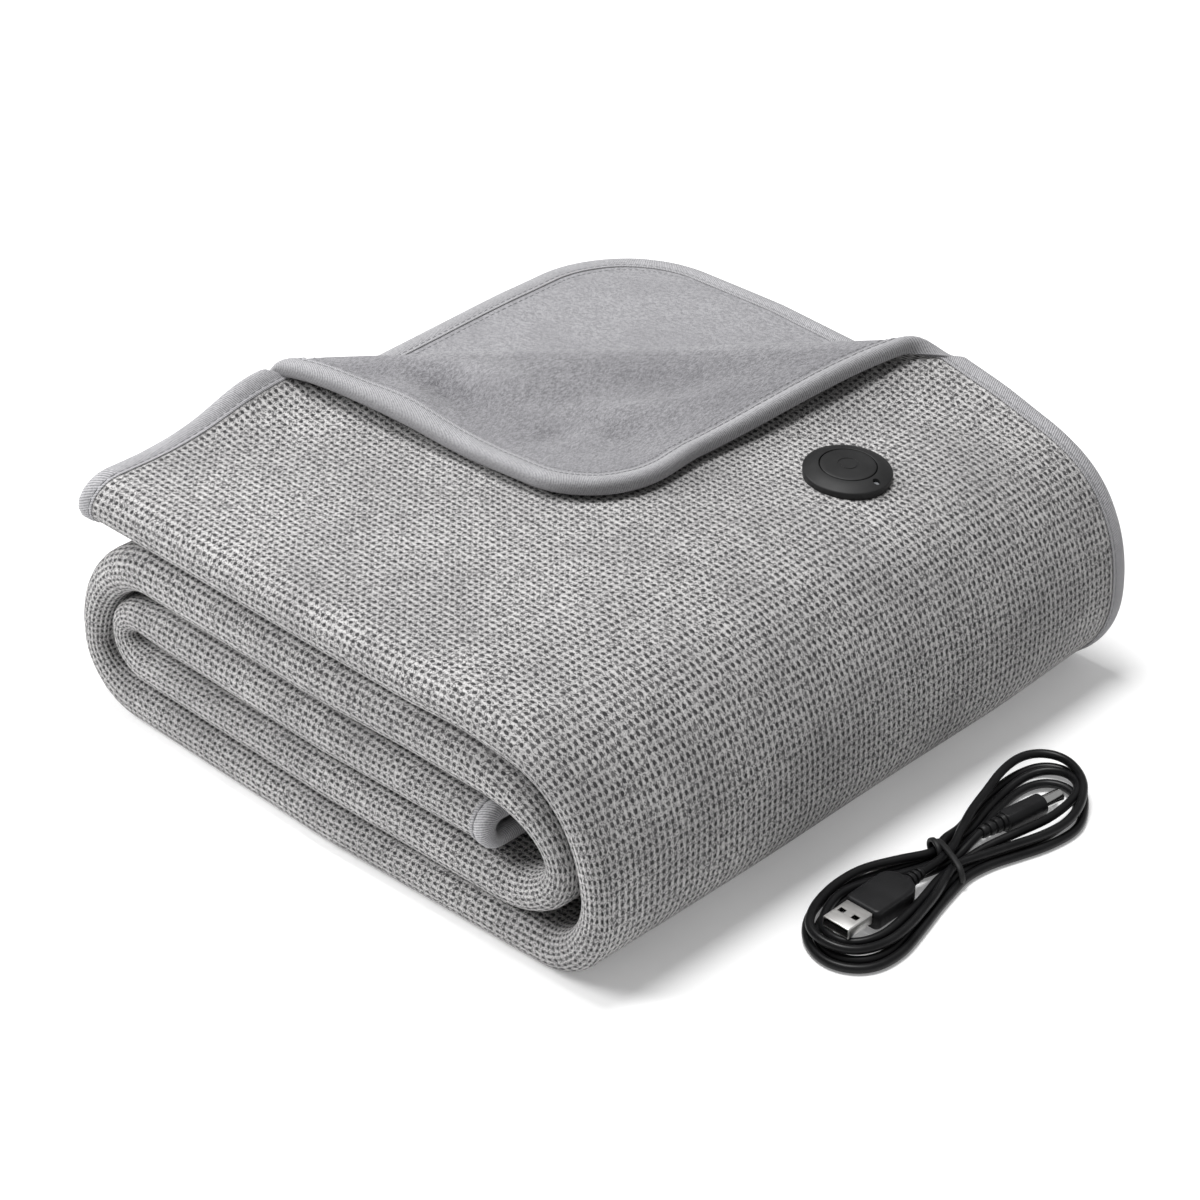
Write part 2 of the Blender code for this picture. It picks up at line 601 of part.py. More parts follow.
def build_control(parts, cutters):
    place = control_place()
    well_round = 0.3 * MM
    rim_round = 0.6 * MM
    housing = add_piece("control_housing", turned("control_housing", (
        (0.0, WELL_FLOOR), (WELL_RADIUS, WELL_FLOOR), (WELL_RADIUS, HOUSING_TOP - well_round),
        (WELL_RADIUS + well_round, HOUSING_TOP),
        (HOUSING_RADIUS - 2 * rim_round, HOUSING_WALL + rim_round),
        (HOUSING_RADIUS - rim_round / 2, HOUSING_WALL),
        (HOUSING_RADIUS, HOUSING_WALL - rim_round), (HOUSING_RADIUS, rim_round),
        (HOUSING_RADIUS - rim_round, 0.0), (0.0, 0.0))), "black_housing", parts)
    housing.matrix_world = place
    cut(housing, upright_pin("light_pocket", LIGHT_RADIUS + GAP, LIGHT_RADIUS + GAP,
                             LIGHT_FLOOR, HOUSING_TOP + 2 * MM), cutters)
    light = upright_pin("status_light", LIGHT_RADIUS, 0.9 * LIGHT_RADIUS, LIGHT_FLOOR + GAP,
                        LIGHT_TOP)
    add_piece("status_light", light, "clear_light", parts).matrix_world = place
    button_low = WELL_FLOOR + BUTTON_TRAVEL + GAP
    crown = 0.2 * MM
    button = add_piece("control_button", turned("control_button", (
        (0.0, BUTTON_TOP), (BUTTON_RADIUS - 1.2 * MM, BUTTON_TOP - crown / 2),
        (BUTTON_RADIUS - crown, BUTTON_TOP - 2 * crown),
        (BUTTON_RADIUS, BUTTON_TOP - 4 * crown),
        (BUTTON_RADIUS, button_low), (0.0, button_low))), "black_button", parts)
    button.matrix_world = place


# ---------------------------------------------------------------- the cable

def build_hank(parts, cutters):
    """The wound cable: a thick flat outline with an eye in each loop and a tied waist."""
    outline = bpy.data.curves.new("cable_hank", "CURVE")
    outline.dimensions = "2D"
    outline.fill_mode = "BOTH"
    outline.extrude = HANK_HEIGHT / 2
    for points in (HANK_EDGE, USB_EYE, DC_EYE):
        closed_spline(outline, points, CURVE_STEPS)
    mesh = curve_mesh("cable_hank", outline)
    mesh.transform(Matrix.Translation((0.0, 0.0, HANK_HEIGHT / 2)))
    hank = add_piece("cable_hank", mesh, "black_cable", parts)
    chamfer = hank.modifiers.new("rounded_edges", "BEVEL")
    chamfer.width = HANK_CHAMFER
    chamfer.segments = 1
    chamfer.limit_method = "ANGLE"
    chamfer.angle_limit = math.radians(60)
    tie = add_piece("cable_tie", tie_band("cable_tie", TIE_RADIUS), "black_tie", parts)
    tie.matrix_world = Matrix.Translation(TIE_CENTRE) @ Matrix.Rotation(TIE_SLANT, 4, "Z")
    groove = tie_band("tie_groove", TIE_RADIUS + GAP)
    groove.transform(tie.matrix_world)
    cut(hank, groove, cutters)


def tie_band(name, radius):
    """The tie's round band: its path lies in the XZ plane."""
    band = bpy.data.curves.new(name, "CURVE")
    band.dimensions = "3D"
    band.bevel_depth = radius
    band.bevel_resolution = 2
    closed_spline(band, [(across, 0.0, height) for across, height in TIE_PATH], 2)
    return curve_mesh(name, band)


def lay_along(mesh, start, angle, height):
    """Lays a piece turned round Z on its side, from start towards the given plan angle."""
    travel = Vector((math.cos(angle), math.sin(angle), 0.0))
    up = Vector((0.0, 0.0, 1.0))
    turn = Matrix((up.cross(travel), up, travel)).transposed().to_4x4()
    mesh.transform(Matrix.Translation((start.x, start.y, height)) @ turn)
    return mesh


def strain_relief(name, length, thick_radius, thin_radius, ribs):
    """A tapered sleeve with ribs round it, thin end up."""
    profile = [(0.0, length), (thin_radius, length)]
    pitch = length / (ribs + 0.5)
    for k in range(ribs):
        low = length - pitch * (k + 1)
        share = 1.0 - low / length
        outer = thin_radius + (thick_radius - thin_radius) * share
        inner = outer - 0.7 * MM
        profile += [(inner, low + pitch * 0.85), (inner, low + pitch * 0.55),
                    (outer, low + pitch * 0.45), (outer, low)]
    profile += [(thick_radius, 0.0), (0.0, 0.0)]
    return turned(name, profile, RELIEF_STEPS)


def build_usb_plug(parts):
    width, length, height = USB_SHELL
    mouth = USB_MOUTH_Y
    shell = bmesh.new()
    bmesh.ops.create_cube(shell, size=1.0)
    bmesh.ops.scale(shell, vec=(width, length, height), verts=shell.verts[:])
    bmesh.ops.translate(shell, verts=shell.verts[:],
                        vec=(USB_AXIS_X, mouth + length / 2, USB_MID_Z))
    front = min(shell.faces, key=lambda face: face.calc_center_median().y)
    bmesh.ops.inset_region(shell, faces=[front], thickness=USB_SHELL_WALL)
    pushed = bmesh.ops.extrude_face_region(shell, geom=[front])
    inner = [item for item in pushed["geom"] if isinstance(item, bmesh.types.BMVert)]
    back_wall = 1.0 * MM
    bmesh.ops.translate(shell, verts=inner, vec=(0.0, length - back_wall, 0.0))
    bmesh.ops.delete(shell, geom=[front], context="FACES")
    add_piece("usb_shell", mesh_from(shell, "usb_shell"), "plated_shell", parts)
    tongue_y = mouth + USB_TONGUE_INSET + USB_TONGUE[1] / 2
    tongue_z = USB_MID_Z - height / 2 + USB_SHELL_WALL + GAP + USB_TONGUE[2] / 2
    tongue = box("usb_tongue", USB_TONGUE, (USB_AXIS_X, tongue_y, tongue_z))
    add_piece("usb_tongue", tongue, "black_plug", parts)
    body_start = mouth + length + GAP
    body = box("usb_overmould", USB_BODY,
               (USB_AXIS_X, body_start + USB_BODY[1] / 2, USB_BODY_MID_Z), USB_BODY_ROUND, 3)
    add_piece("usb_overmould", body, "black_plug", parts)
    relief = strain_relief("usb_strain_relief", **USB_RELIEF)
    start = Vector((USB_AXIS_X, body_start + USB_BODY[1] + GAP))
    add_piece("usb_strain_relief", lay_along(relief, start, math.pi / 2, USB_BODY_MID_Z),
              "black_plug", parts)


def build_dc_plug(parts):
    travel = Vector((math.cos(DC_ANGLE), math.sin(DC_ANGLE)))
    relief = strain_relief("dc_strain_relief", **DC_RELIEF)
    start = DC_START + travel * DC_RELIEF["length"]
    add_piece("dc_strain_relief", lay_along(relief, start, DC_ANGLE + math.pi, DC_MID_Z),
              "black_plug", parts)
    start += travel * GAP
    shoulder = 0.6 * MM
    body = turned("dc_plug_body", (
        (0.0, DC_BODY_LENGTH), (DC_BODY_RADIUS - shoulder, DC_BODY_LENGTH),
        (DC_BODY_RADIUS, DC_BODY_LENGTH - shoulder), (DC_BODY_RADIUS, 2 * shoulder),
        (DC_BODY_RADIUS - shoulder, 0.0), (0.0, 0.0)), PLUG_STEPS)
    add_piece("dc_plug_body", lay_along(body, start, DC_ANGLE, DC_MID_Z), "black_plug", parts)
    start += travel * (DC_BODY_LENGTH + GAP)
    floor = DC_BARREL_LENGTH - DC_BORE_DEPTH
    barrel = turned("dc_barrel", (
        (0.0, floor), (DC_BORE_RADIUS, floor), (DC_BORE_RADIUS, DC_BARREL_LENGTH),
        (DC_BARREL_RADIUS - GAP, DC_BARREL_LENGTH), (DC_BARREL_RADIUS, DC_BARREL_LENGTH - GAP),
        (DC_BARREL_RADIUS, 0.0), (0.0, 0.0)), PLUG_STEPS)
    add_piece("dc_barrel", lay_along(barrel, start, DC_ANGLE, DC_MID_Z), "bright_barrel", parts)


def main():
    clear_scene()
    parts = new_collection("electric_heated_blanket")
    cutters = new_collection("cutters")
    knit_low = -PLY_HALF + LINING_THICK + GAP
    add_piece("knit_face", cloth_panel("knit_face", knit_low, PLY_HALF), "heather_knit", parts)
    add_piece("fleece_lining", cloth_panel("fleece_lining", -PLY_HALF, -PLY_HALF + LINING_THICK),
              "grey_fleece", parts)
    add_piece("edge_binding", binding_tape("edge_binding"), "grey_twill_tape", parts)
    build_control(parts, cutters)
    build_hank(parts, cutters)
    build_usb_plug(parts)
    build_dc_plug(parts)
    for item in list(parts.objects) + list(cutters.objects):
        item.location += ROLL_ZERO


main()
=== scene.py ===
import json
import math

import bmesh
import bpy
import numpy as np
from mathutils import Matrix, Vector


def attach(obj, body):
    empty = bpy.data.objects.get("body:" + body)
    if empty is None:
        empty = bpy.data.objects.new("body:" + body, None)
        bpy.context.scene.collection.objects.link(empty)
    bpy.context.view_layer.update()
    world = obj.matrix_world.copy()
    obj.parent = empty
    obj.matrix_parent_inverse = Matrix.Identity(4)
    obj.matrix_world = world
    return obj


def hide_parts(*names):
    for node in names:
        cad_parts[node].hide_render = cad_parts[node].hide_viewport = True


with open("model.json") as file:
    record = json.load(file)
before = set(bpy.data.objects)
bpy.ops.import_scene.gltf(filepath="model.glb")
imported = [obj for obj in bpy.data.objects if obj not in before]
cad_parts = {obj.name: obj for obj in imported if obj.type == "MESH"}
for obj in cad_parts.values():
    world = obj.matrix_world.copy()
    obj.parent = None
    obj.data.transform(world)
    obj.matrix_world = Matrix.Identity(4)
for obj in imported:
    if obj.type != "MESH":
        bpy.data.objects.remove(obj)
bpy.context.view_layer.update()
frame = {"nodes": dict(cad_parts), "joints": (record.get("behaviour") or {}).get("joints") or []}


# ---------------------------------------------------------------- camera
# A long lens that looks down over the blanket's near right corner, at the height of someone
# standing at the table that it lies on.
MM = 0.001
# Places in plan are measured from the roll's own zero, which lies here from the part's origin.
ROLL_ZERO = Vector((3.09 * MM, -0.785 * MM, 0.0))
CAMERA_PLACE = Vector((0.703, -0.720, 0.6695)) + ROLL_ZERO
CAMERA_AZIMUTH = math.radians(44.5)
CAMERA_ELEVATION = math.radians(32.0)
LENS = 90.0
SENSOR_WIDTH = 36.0

lens = bpy.data.cameras.new("blanket_view")
lens.lens = LENS
lens.sensor_width = SENSOR_WIDTH
camera = bpy.data.objects.new("blanket_view", lens)
bpy.context.scene.collection.objects.link(camera)
camera.matrix_world = (Matrix.Translation(CAMERA_PLACE)
                       @ Matrix.Rotation(CAMERA_AZIMUTH, 4, "Z")
                       @ Matrix.Rotation(math.pi / 2 - CAMERA_ELEVATION, 4, "X"))
bpy.context.scene.camera = camera


# ---------------------------------------------------------------- table and light
# A plain white light table, lit from below a little to keep its shadows pale, and burnt out to
# white. One soft lamp hangs overhead, another stands on the left, and the room only fills in,
# so the side that is turned from them stays darker.
FLOOR_HALF = 4.0
FLOOR_COLOUR = (0.89, 0.89, 0.89)
FLOOR_ROUGHNESS = 0.6
FLOOR_GLOW = 0.18
WHITE = (1.0, 1.0, 1.0)
ROOM = 0.32
LAMPS = (
    # name, place, aim, size, power
    ("top_softbox", (-0.12, -0.03, 1.6), (0.0, 0.0, 0.0), 0.6, 22.5),
    ("left_softbox", (-0.95, -0.95, 1.0), (0.0, 0.0, 0.05), 0.8, 24.0),
)
bpy.context.scene.view_settings.view_transform = "Standard"


def put(socket, value):
    """Gives a node's input its value, which is a constant or another node's output."""
    if isinstance(value, bpy.types.NodeSocket):
        socket.id_data.links.new(value, socket)
    elif socket.type == "RGBA":
        socket.default_value = (*value, 1.0)
    else:
        socket.default_value = value


def dress(surface, **values):
    """Gives the inputs of a material's shader their values, named with _ for spaces."""
    shader = surface.node_tree.nodes["Principled BSDF"]
    for key, value in values.items():
        put(shader.inputs[key.replace("_", " ")], value)


def finish(name, **values):
    """A new Principled material with the given values."""
    surface = bpy.data.materials.new(name)
    surface.use_nodes = True
    dress(surface, **values)
    return surface


floor_mesh = bpy.data.meshes.new("table_top")
floor_corners = [(x * FLOOR_HALF, y * FLOOR_HALF, 0.0)
                 for x, y in ((-1, -1), (1, -1), (1, 1), (-1, 1))]
floor_mesh.from_pydata(floor_corners, [], [(0, 1, 2, 3)])
floor_mesh.materials.append(finish(
    "white_table", Base_Color=FLOOR_COLOUR, Roughness=FLOOR_ROUGHNESS,
    Emission_Color=WHITE, Emission_Strength=FLOOR_GLOW))
table_top = bpy.data.objects.new("table_top", floor_mesh)
bpy.context.scene.collection.objects.link(table_top)

room = bpy.data.worlds.new("dim_room")
room.use_nodes = True
background = room.node_tree.nodes["Background"]
put(background.inputs["Color"], WHITE)
put(background.inputs["Strength"], ROOM)
bpy.context.scene.world = room

for name, place, aim, size, power in LAMPS:
    lamp = bpy.data.lights.new(name, "AREA")
    lamp.shape = "DISK"
    lamp.size = size
    lamp.energy = power
    holder = bpy.data.objects.new(name, lamp)
    bpy.context.scene.collection.objects.link(holder)
    direction = Vector(aim) - Vector(place)
    holder.matrix_world = (Matrix.Translation(place)
                           @ direction.to_track_quat("-Z", "Y").to_matrix().to_4x4())


# ---------------------------------------------------------------- power cable
# Round black cable with a satin jacket, wound by hand into a long hank of four turns. The first
# turn rises off the others at both ends, and they all bunch up where they are tied.
CABLE_DIAMETER = 3.5 * MM
# Where it lies, in mm, from the USB plug through the four turns to the DC plug. Each turn runs
# up the far lobe's left side, down its right, round the near lobe and back to the tie.
CABLE_RUN = (
    (174, -15.4, 6.5), (174.1, -10, 6.5), (173.6, -1, 6.2), (171.4, 8, 6.4), (167.6, 17, 6.8),
    (163.4, 28, 7), (159.6, 41.9, 7.2), (156.4, 55.3, 8), (156.4, 66.5, 8.6), (160.6, 74.2, 8.6),
    (168.6, 77.3, 8.6), (177.8, 74.4, 8.4), (185.4, 67.8, 7.9), (191, 57.4, 7.2),
    (193, 46.8, 6.4), (190.6, 34.5, 5.6), (186.3, 22, 5.4), (182.2, 9.9, 5.2), (178.9, 0, 5),
    (180.9, -8.5, 5.4), (185.2, -20, 5.6), (187.7, -29.8, 5.6), (189.8, -39.5, 5.5),
    (190.6, -51.2, 5.4), (187.9, -61.9, 5.6), (182.3, -68, 6), (174, -70.1, 6.6),
    (166.9, -68.2, 7), (162.1, -62.4, 7), (158.6, -53.9, 7), (156.4, -41.7, 6.6), (157, -27.6, 6),
    (162.8, -13.3, 5.8), (168.3, 0, 5), (165.4, 9, 4.6), (163.4, 21, 2.2), (159.4, 37, 1.8),
    (157.4, 50, 1.8), (157.8, 63, 2.6), (162.4, 73, 3.8), (172, 76.6, 4.2), (182, 72, 3),
    (190, 62.5, 1.9), (194.8, 51, 1.8), (193.4, 36.1, 1.8), (189.4, 23.4, 1.8),
    (185.6, 11.8, 1.9), (184, 0, 1.9), (185.6, -10, 1.8), (188.1, -21.9, 1.8), (192.1, -37, 1.8),
    (195, -50.7, 1.8), (193.8, -62.9, 1.8), (188.2, -70.3, 1.8), (179.6, -73.4, 1.8),
    (170.4, -71.3, 1.8), (162.8, -65.4, 1.8), (157.6, -57, 1.8), (155.1, -46.3, 1.8),
    (155.6, -35.6, 1.8), (158.9, -23.9, 1.8), (163, -12, 1.9), (166.6, -2, 1.9), (167.4, 9, 1.9),
    (167, 22, 1.8), (163.2, 37, 1.8), (161.1, 50, 1.8), (161.3, 60.6, 3.4), (164.8, 68.9, 5),
    (172.8, 72.6, 6.4), (181, 70, 6.9), (185.6, 61.8, 6.7), (186.4, 46.5, 6), (183.6, 32, 5.6),
    (179.6, 18, 4.2), (177.6, 8, 2.6), (177.1, 0, 1.9), (178.4, -10, 3), (181.2, -19, 4.2),
    (183.4, -27.8, 4.7), (185.1, -37.5, 4.9), (186.3, -47.3, 5), (185.2, -54.6, 4.6),
    (181, -60.9, 4), (174, -63.5, 3.8), (166.8, -61, 3.9), (162.2, -54, 4.2), (159.5, -44.4, 4.4),
    (160.2, -35.1, 4), (163.5, -24.9, 3.2), (167.4, -13, 2.4), (170.1, -2, 1.9), (170.8, 9, 1.9),
    (170.4, 22, 1.8), (167, 37, 1.8), (164.9, 50, 1.8), (165, 58.2, 2.1), (168.4, 65.8, 2.7),
    (175.6, 69.2, 3), (183, 67.2, 2.5), (188, 60, 1.9), (189.4, 49, 1.8), (189, 37, 1.8),
    (185.4, 23.6, 1.8), (181.8, 11.8, 1.8), (180.6, 0, 1.9), (181.9, -10, 1.8),
    (184.6, -21.9, 1.8), (188.4, -37, 1.8), (191.3, -50.2, 1.8), (190.3, -60.5, 1.9),
    (185.8, -66.6, 2), (178.8, -69.6, 2.1), (171.2, -67.7, 2.1), (166, -63.3, 2),
    (162.5, -56.1, 1.8), (161, -45.8, 1.8), (163.1, -35.6, 1.8), (166.9, -23.9, 1.8),
    (170.8, -12, 1.9), (173.6, -2, 1.9), (174.2, 7, 2.6), (173.6, 14.5, 4.3), (173.2, 20.9, 5.2),
)
SPLINE_STEPS = 12
# Step along the eased line, and how far its bends are eased out, in mm.
CABLE_STEP = 1.2
CABLE_EASE = 2.6
JACKET_ROUNDING = 4


def through(points, steps):
    """Points on a smooth open line through the given ones, with steps from one to the next."""
    knots = np.array([points[0], *points, points[-1]], float)
    knots[0] = 2 * knots[1] - knots[2]
    knots[-1] = 2 * knots[-2] - knots[-3]
    line = []
    for k in range(1, len(knots) - 2):
        p0, p1, p2, p3 = knots[k - 1:k + 3]
        for t in np.linspace(0, 1, steps, endpoint=False):
            line.append(0.5 * (2 * p1 + (p2 - p0) * t + (2 * p0 - 5 * p1 + 4 * p2 - p3) * t * t
                               + (3 * p1 - p0 - 3 * p2 + p3) * t ** 3))
    return np.array(line + [knots[-2]])


def evenly(line, step, ease):
    """The line at even steps, with its bends eased out over a short reach and its ends kept."""
    gone = np.concatenate(([0.0], np.cumsum(np.linalg.norm(np.diff(line, axis=0), axis=1))))
    at = np.linspace(0, gone[-1], int(gone[-1] / step) + 1)
    even = np.stack([np.interp(at, gone, line[:, k]) for k in range(3)], axis=1)
    reach = int(3 * ease / step)
    weights = np.exp(-0.5 * (np.arange(-reach, reach + 1) * step / ease) ** 2)
    weights /= weights.sum()
    first, last = even[:1], even[-1:]
    padded = np.concatenate((2 * first - even[reach:0:-1], even, 2 * last - even[-2:-reach - 2:-1]))
    return np.stack([np.convolve(padded[:, k], weights, "valid") for k in range(3)], axis=1)


cable_points = evenly(through(CABLE_RUN, SPLINE_STEPS)[::-1], CABLE_STEP, CABLE_EASE) * MM
cable_points += np.array(ROLL_ZERO)
jacket = bpy.data.curves.new("power_cable", "CURVE")
jacket.dimensions = "3D"
jacket.bevel_depth = CABLE_DIAMETER / 2
jacket.bevel_resolution = JACKET_ROUNDING
jacket.use_fill_caps = True
run = jacket.splines.new("POLY")
run.points.add(len(cable_points) - 1)
for knot, place in zip(run.points, cable_points):
    knot.co = (*place, 1.0)
power_cable = bpy.data.objects.new("power_cable", jacket)
bpy.context.scene.collection.objects.link(power_cable)


def add_node(tree, kind, settings, inputs):
    """A node in a material's tree, with its settings, and its inputs by name or number."""
    made = tree.nodes.new(kind)
    for key, value in settings.items():
        setattr(made, key, value)
    for key, value in inputs.items():
        put(made.inputs[key], value)
    return made


def object_place(surface):
    """The place in a piece's own space, in metres."""
    return add_node(surface.node_tree, "ShaderNodeTexCoord", {}, {}).outputs["Object"]


def noise(place, scale, detail=2.0, roughness=0.5):
    """Soft noise from 0 to 1, with about scale lumps to a metre."""
    made = add_node(place.id_data, "ShaderNodeTexNoise", {}, {
        "Vector": place, "Scale": scale, "Detail": detail, "Roughness": roughness})
    return made.outputs[0]


def between(value, span, to=(0.0, 1.0), smooth=False):
    """Maps a value from one range to another and keeps it inside."""
    kind = "SMOOTHSTEP" if smooth else "LINEAR"
    made = add_node(value.id_data, "ShaderNodeMapRange", {"interpolation_type": kind}, {
        "Value": value, "From Min": span[0], "From Max": span[1],
        "To Min": to[0], "To Max": to[1]})
    return made.outputs["Result"]


def tint(share, first, second):
    """A colour between two, by a share from 0 to 1."""
    made = add_node(share.id_data, "ShaderNodeMix", {"data_type": "RGBA"}, {
        "Factor": share, 6: first, 7: second})
    return made.outputs[2]


def raise_surface(height, distance):
    """Wires a height of 0 to 1, worth the given distance, into the shader's normal."""
    tree = height.id_data
    bump = add_node(tree, "ShaderNodeBump", {}, {"Height": height, "Distance": distance})
    put(tree.nodes["Principled BSDF"].inputs["Normal"], bump.outputs["Normal"])


def moulded_black(name, colour, roughness, grain, relief, shine=0.3):
    """Black moulding: a fine grain, with the sheen a little uneven from handling."""
    surface = finish(name, Specular_IOR_Level=shine)
    place = object_place(surface)
    handled = noise(place, scale=90.0)
    lighter = tuple(1.4 * channel + 0.0015 for channel in colour)
    dress(surface, Base_Color=tint(between(handled, (0.3, 0.7)), colour, lighter),
          Roughness=between(handled, (0.3, 0.7), (roughness - 0.06, roughness + 0.06)))
    raise_surface(noise(place, grain, detail=3.0), relief)
    return surface


power_cable.data.materials.append(moulded_black(
    "cable_jacket", colour=(0.005, 0.005, 0.0055), roughness=0.38, grain=1800.0,
    relief=0.02 * MM, shine=0.23))
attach(power_cable, "root")
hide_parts("cable_hank")


# ---------------------------------------------------------------- cable tie
# A narrow rubber tie, pulled tight round the hank's waist at a slant, with a second small hoop
# of it caught round the outer strands at its far upper corner.
TIE_CENTRE = Vector((175.3, -0.6, 0.0)) * MM + ROLL_ZERO
TIE_SLANT = math.radians(-25.0)
TIE_WIDTH = 2.4 * MM
TIE_THICK = 1.5 * MM
# Its path about the waist: distance across and height, in mm.
TIE_PATH = ((0, 0.75), (6, 0.75), (9.6, 1.3), (11.3, 3.4), (11.0, 5.8), (8.8, 7.9), (4.5, 8.7),
            (0, 8.8), (-4.5, 8.7), (-8.8, 7.9), (-11.2, 5.8), (-11.5, 3.4), (-9.8, 1.3), (-6, 0.75))
TIE_STEPS = 8
HOOP_CENTRE = (-7.6, 5.4)
HOOP_RADII = (4.3, 3.4)
HOOP_FORWARD = -1.9 * MM
HOOP_WIDTH = 0.9 * TIE_WIDTH
HOOP_STEPS = 36
BAND_SIDES = 12
# How square the band's section is, across its width and through its thickness: 1 is round.
BAND_SQUARE = (0.5, 0.8)


def shade(piece, sharp=40):
    """Shades a piece smooth, but for edges that turn by more than sharp, in degrees."""
    piece.data.shade_smooth()
    piece.data.set_sharp_from_angle(angle=math.radians(sharp))


def new_piece(name, mesh, surface):
    piece = bpy.data.objects.new(name, mesh)
    bpy.context.scene.collection.objects.link(piece)
    mesh.materials.append(surface)
    shade(piece)
    return piece


def loft(bm, loops):
    """Faces between closed loops of as many points each, from one loop to the next."""
    for loop, following in zip(loops, loops[1:]):
        for k in range(len(loop)):
            n = (k + 1) % len(loop)
            bm.faces.new((loop[k], loop[n], following[n], following[k]))


def band_loop(bm, path, width, thick):
    """A closed flat band with soft edges whose middle follows a loop in the XZ plane."""
    travel = np.roll(path, -1, axis=0) - np.roll(path, 1, axis=0)
    travel /= np.linalg.norm(travel, axis=1)[:, None]
    rings = []
    for (across, height), (dx, dz) in zip(path, travel):
        ring = []
        for k in range(BAND_SIDES):
            angle = 2 * math.pi * k / BAND_SIDES
            side, out = (half * math.copysign(abs(turn) ** square, turn) for half, turn, square in (
                (width / 2, math.cos(angle), BAND_SQUARE[0]),
                (thick / 2, math.sin(angle), BAND_SQUARE[1])))
            ring.append(bm.verts.new((across + dz * out, side, height - dx * out)))
        rings.append(ring)
    loft(bm, [*rings, rings[0]])


def mesh_from(bm, name):
    bmesh.ops.recalc_face_normals(bm, faces=bm.faces[:])
    mesh = bpy.data.meshes.new(name)
    bm.to_mesh(mesh)
    bm.free()
    return mesh


tie_path = through([*TIE_PATH, TIE_PATH[0]], TIE_STEPS)[:-1] * MM
hoop_turn = np.linspace(0, 2 * math.pi, HOOP_STEPS, endpoint=False)
hoop_path = np.stack([HOOP_CENTRE[0] + HOOP_RADII[0] * np.cos(hoop_turn),
                      HOOP_CENTRE[1] + HOOP_RADII[1] * np.sin(hoop_turn)], axis=1) * MM
tie_bm = bmesh.new()
band_loop(tie_bm, hoop_path, HOOP_WIDTH, TIE_THICK)
bmesh.ops.translate(tie_bm, vec=(0.0, HOOP_FORWARD, 0.0), verts=tie_bm.verts[:])
band_loop(tie_bm, tie_path, TIE_WIDTH, TIE_THICK)
tie_mesh = mesh_from(tie_bm, "cable_tie_band")
tie_mesh.transform(Matrix.Translation(TIE_CENTRE) @ Matrix.Rotation(TIE_SLANT, 4, "Z"))
tie_band = new_piece("cable_tie_band", tie_mesh, moulded_black(
    "tie_rubber", colour=(0.012, 0.012, 0.0125), roughness=0.55, grain=2600.0, relief=0.04 * MM))
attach(tie_band, "root")
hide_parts("cable_tie")


# ---------------------------------------------------------------- USB plug
# Nickel-plated folded steel shell with two latch windows, a black contact tongue with four
# plated contacts inside, and a soft black overmould with rounded shoulders and a ribbed neck.
USB_X = 174.0 * MM + ROLL_ZERO.x
USB_MOUTH_Y = -62.8 * MM + ROLL_ZERO.y
USB_SHELL = (12.0 * MM, 13.4 * MM, 4.5 * MM)
USB_SHELL_Z = 8.0 * MM
SHELL_EDGE = 0.5 * MM
SHELL_WALL = 0.36 * MM
SHELL_BACK = 0.8 * MM
WINDOW = (2.8 * MM, 2.4 * MM, 1.2 * MM)
WINDOW_OFFSET = 3.1 * MM
WINDOW_DEPTH = 7.2 * MM
TONGUE = (10.9 * MM, 11.6 * MM, 2.1 * MM)
TONGUE_INSET = 0.5 * MM
TONGUE_EDGE = 0.2 * MM
TONGUE_GAP = 0.1 * MM
CONTACT = (1.1 * MM, 7.0 * MM, 0.12 * MM)
CONTACT_COUNT = 4
CONTACT_PITCH = 2.25 * MM
CONTACT_FORWARD = 0.6 * MM
CONTACT_RISE = 0.05 * MM
OVERMOULD = (16.0 * MM, 25.0 * MM, 8.4 * MM)
OVERMOULD_Z = 6.5 * MM
OVERMOULD_EDGE = 1.5 * MM
OVERMOULD_GAP = 0.3 * MM
SHOULDERS = {"shell": 1.0 * MM, "cable": 4.6 * MM}
SHOULDER_STEPS = 8
NECK = {"length": 9.0 * MM, "thick": 3.3 * MM, "thin": 2.35 * MM, "ribs": 3}
NECK_GAP = 0.1 * MM


def block(bm, size, centre, bevel=0.0, segments=3):
    """A box added to a mesh in the making, with its edges rounded if bevel says how much."""
    made = bmesh.ops.create_cube(bm, size=1.0)["verts"]
    bmesh.ops.scale(bm, vec=size, verts=made)
    bmesh.ops.translate(bm, vec=centre, verts=made)
    if bevel:
        edges = list({edge for vert in made for edge in vert.link_edges})
        bmesh.ops.bevel(bm, geom=edges, offset=bevel, segments=segments, affect="EDGES",
                        profile=0.5)


def carve(piece, bm):
    """Cuts the closed shapes in bm out of the piece, for good."""
    tool = bpy.data.objects.new("carving_tool", mesh_from(bm, "carving_tool"))
    bpy.context.scene.collection.objects.link(tool)
    boolean = piece.modifiers.new("carve", "BOOLEAN")
    boolean.operation = "DIFFERENCE"
    boolean.solver = "EXACT"
    boolean.object = tool
    evaluated = piece.evaluated_get(bpy.context.evaluated_depsgraph_get())
    carved = bpy.data.meshes.new_from_object(evaluated)
    piece.modifiers.clear()
    piece.data = carved
    bpy.data.objects.remove(tool, do_unlink=True)


def nickel(name, marks_per_metre, dull, bright, roughness):
    """Nickel plating, faintly marked, with so many marks to a metre along x, y and z."""
    surface = finish(name, Metallic=1.0)
    stretched = add_node(surface.node_tree, "ShaderNodeMapping", {}, {
        "Vector": object_place(surface), "Scale": marks_per_metre}).outputs[0]
    marks = noise(stretched, scale=1.0)
    dress(surface, Base_Color=tint(marks, dull, bright),
          Roughness=between(marks, (0.3, 0.7), roughness))
    return surface


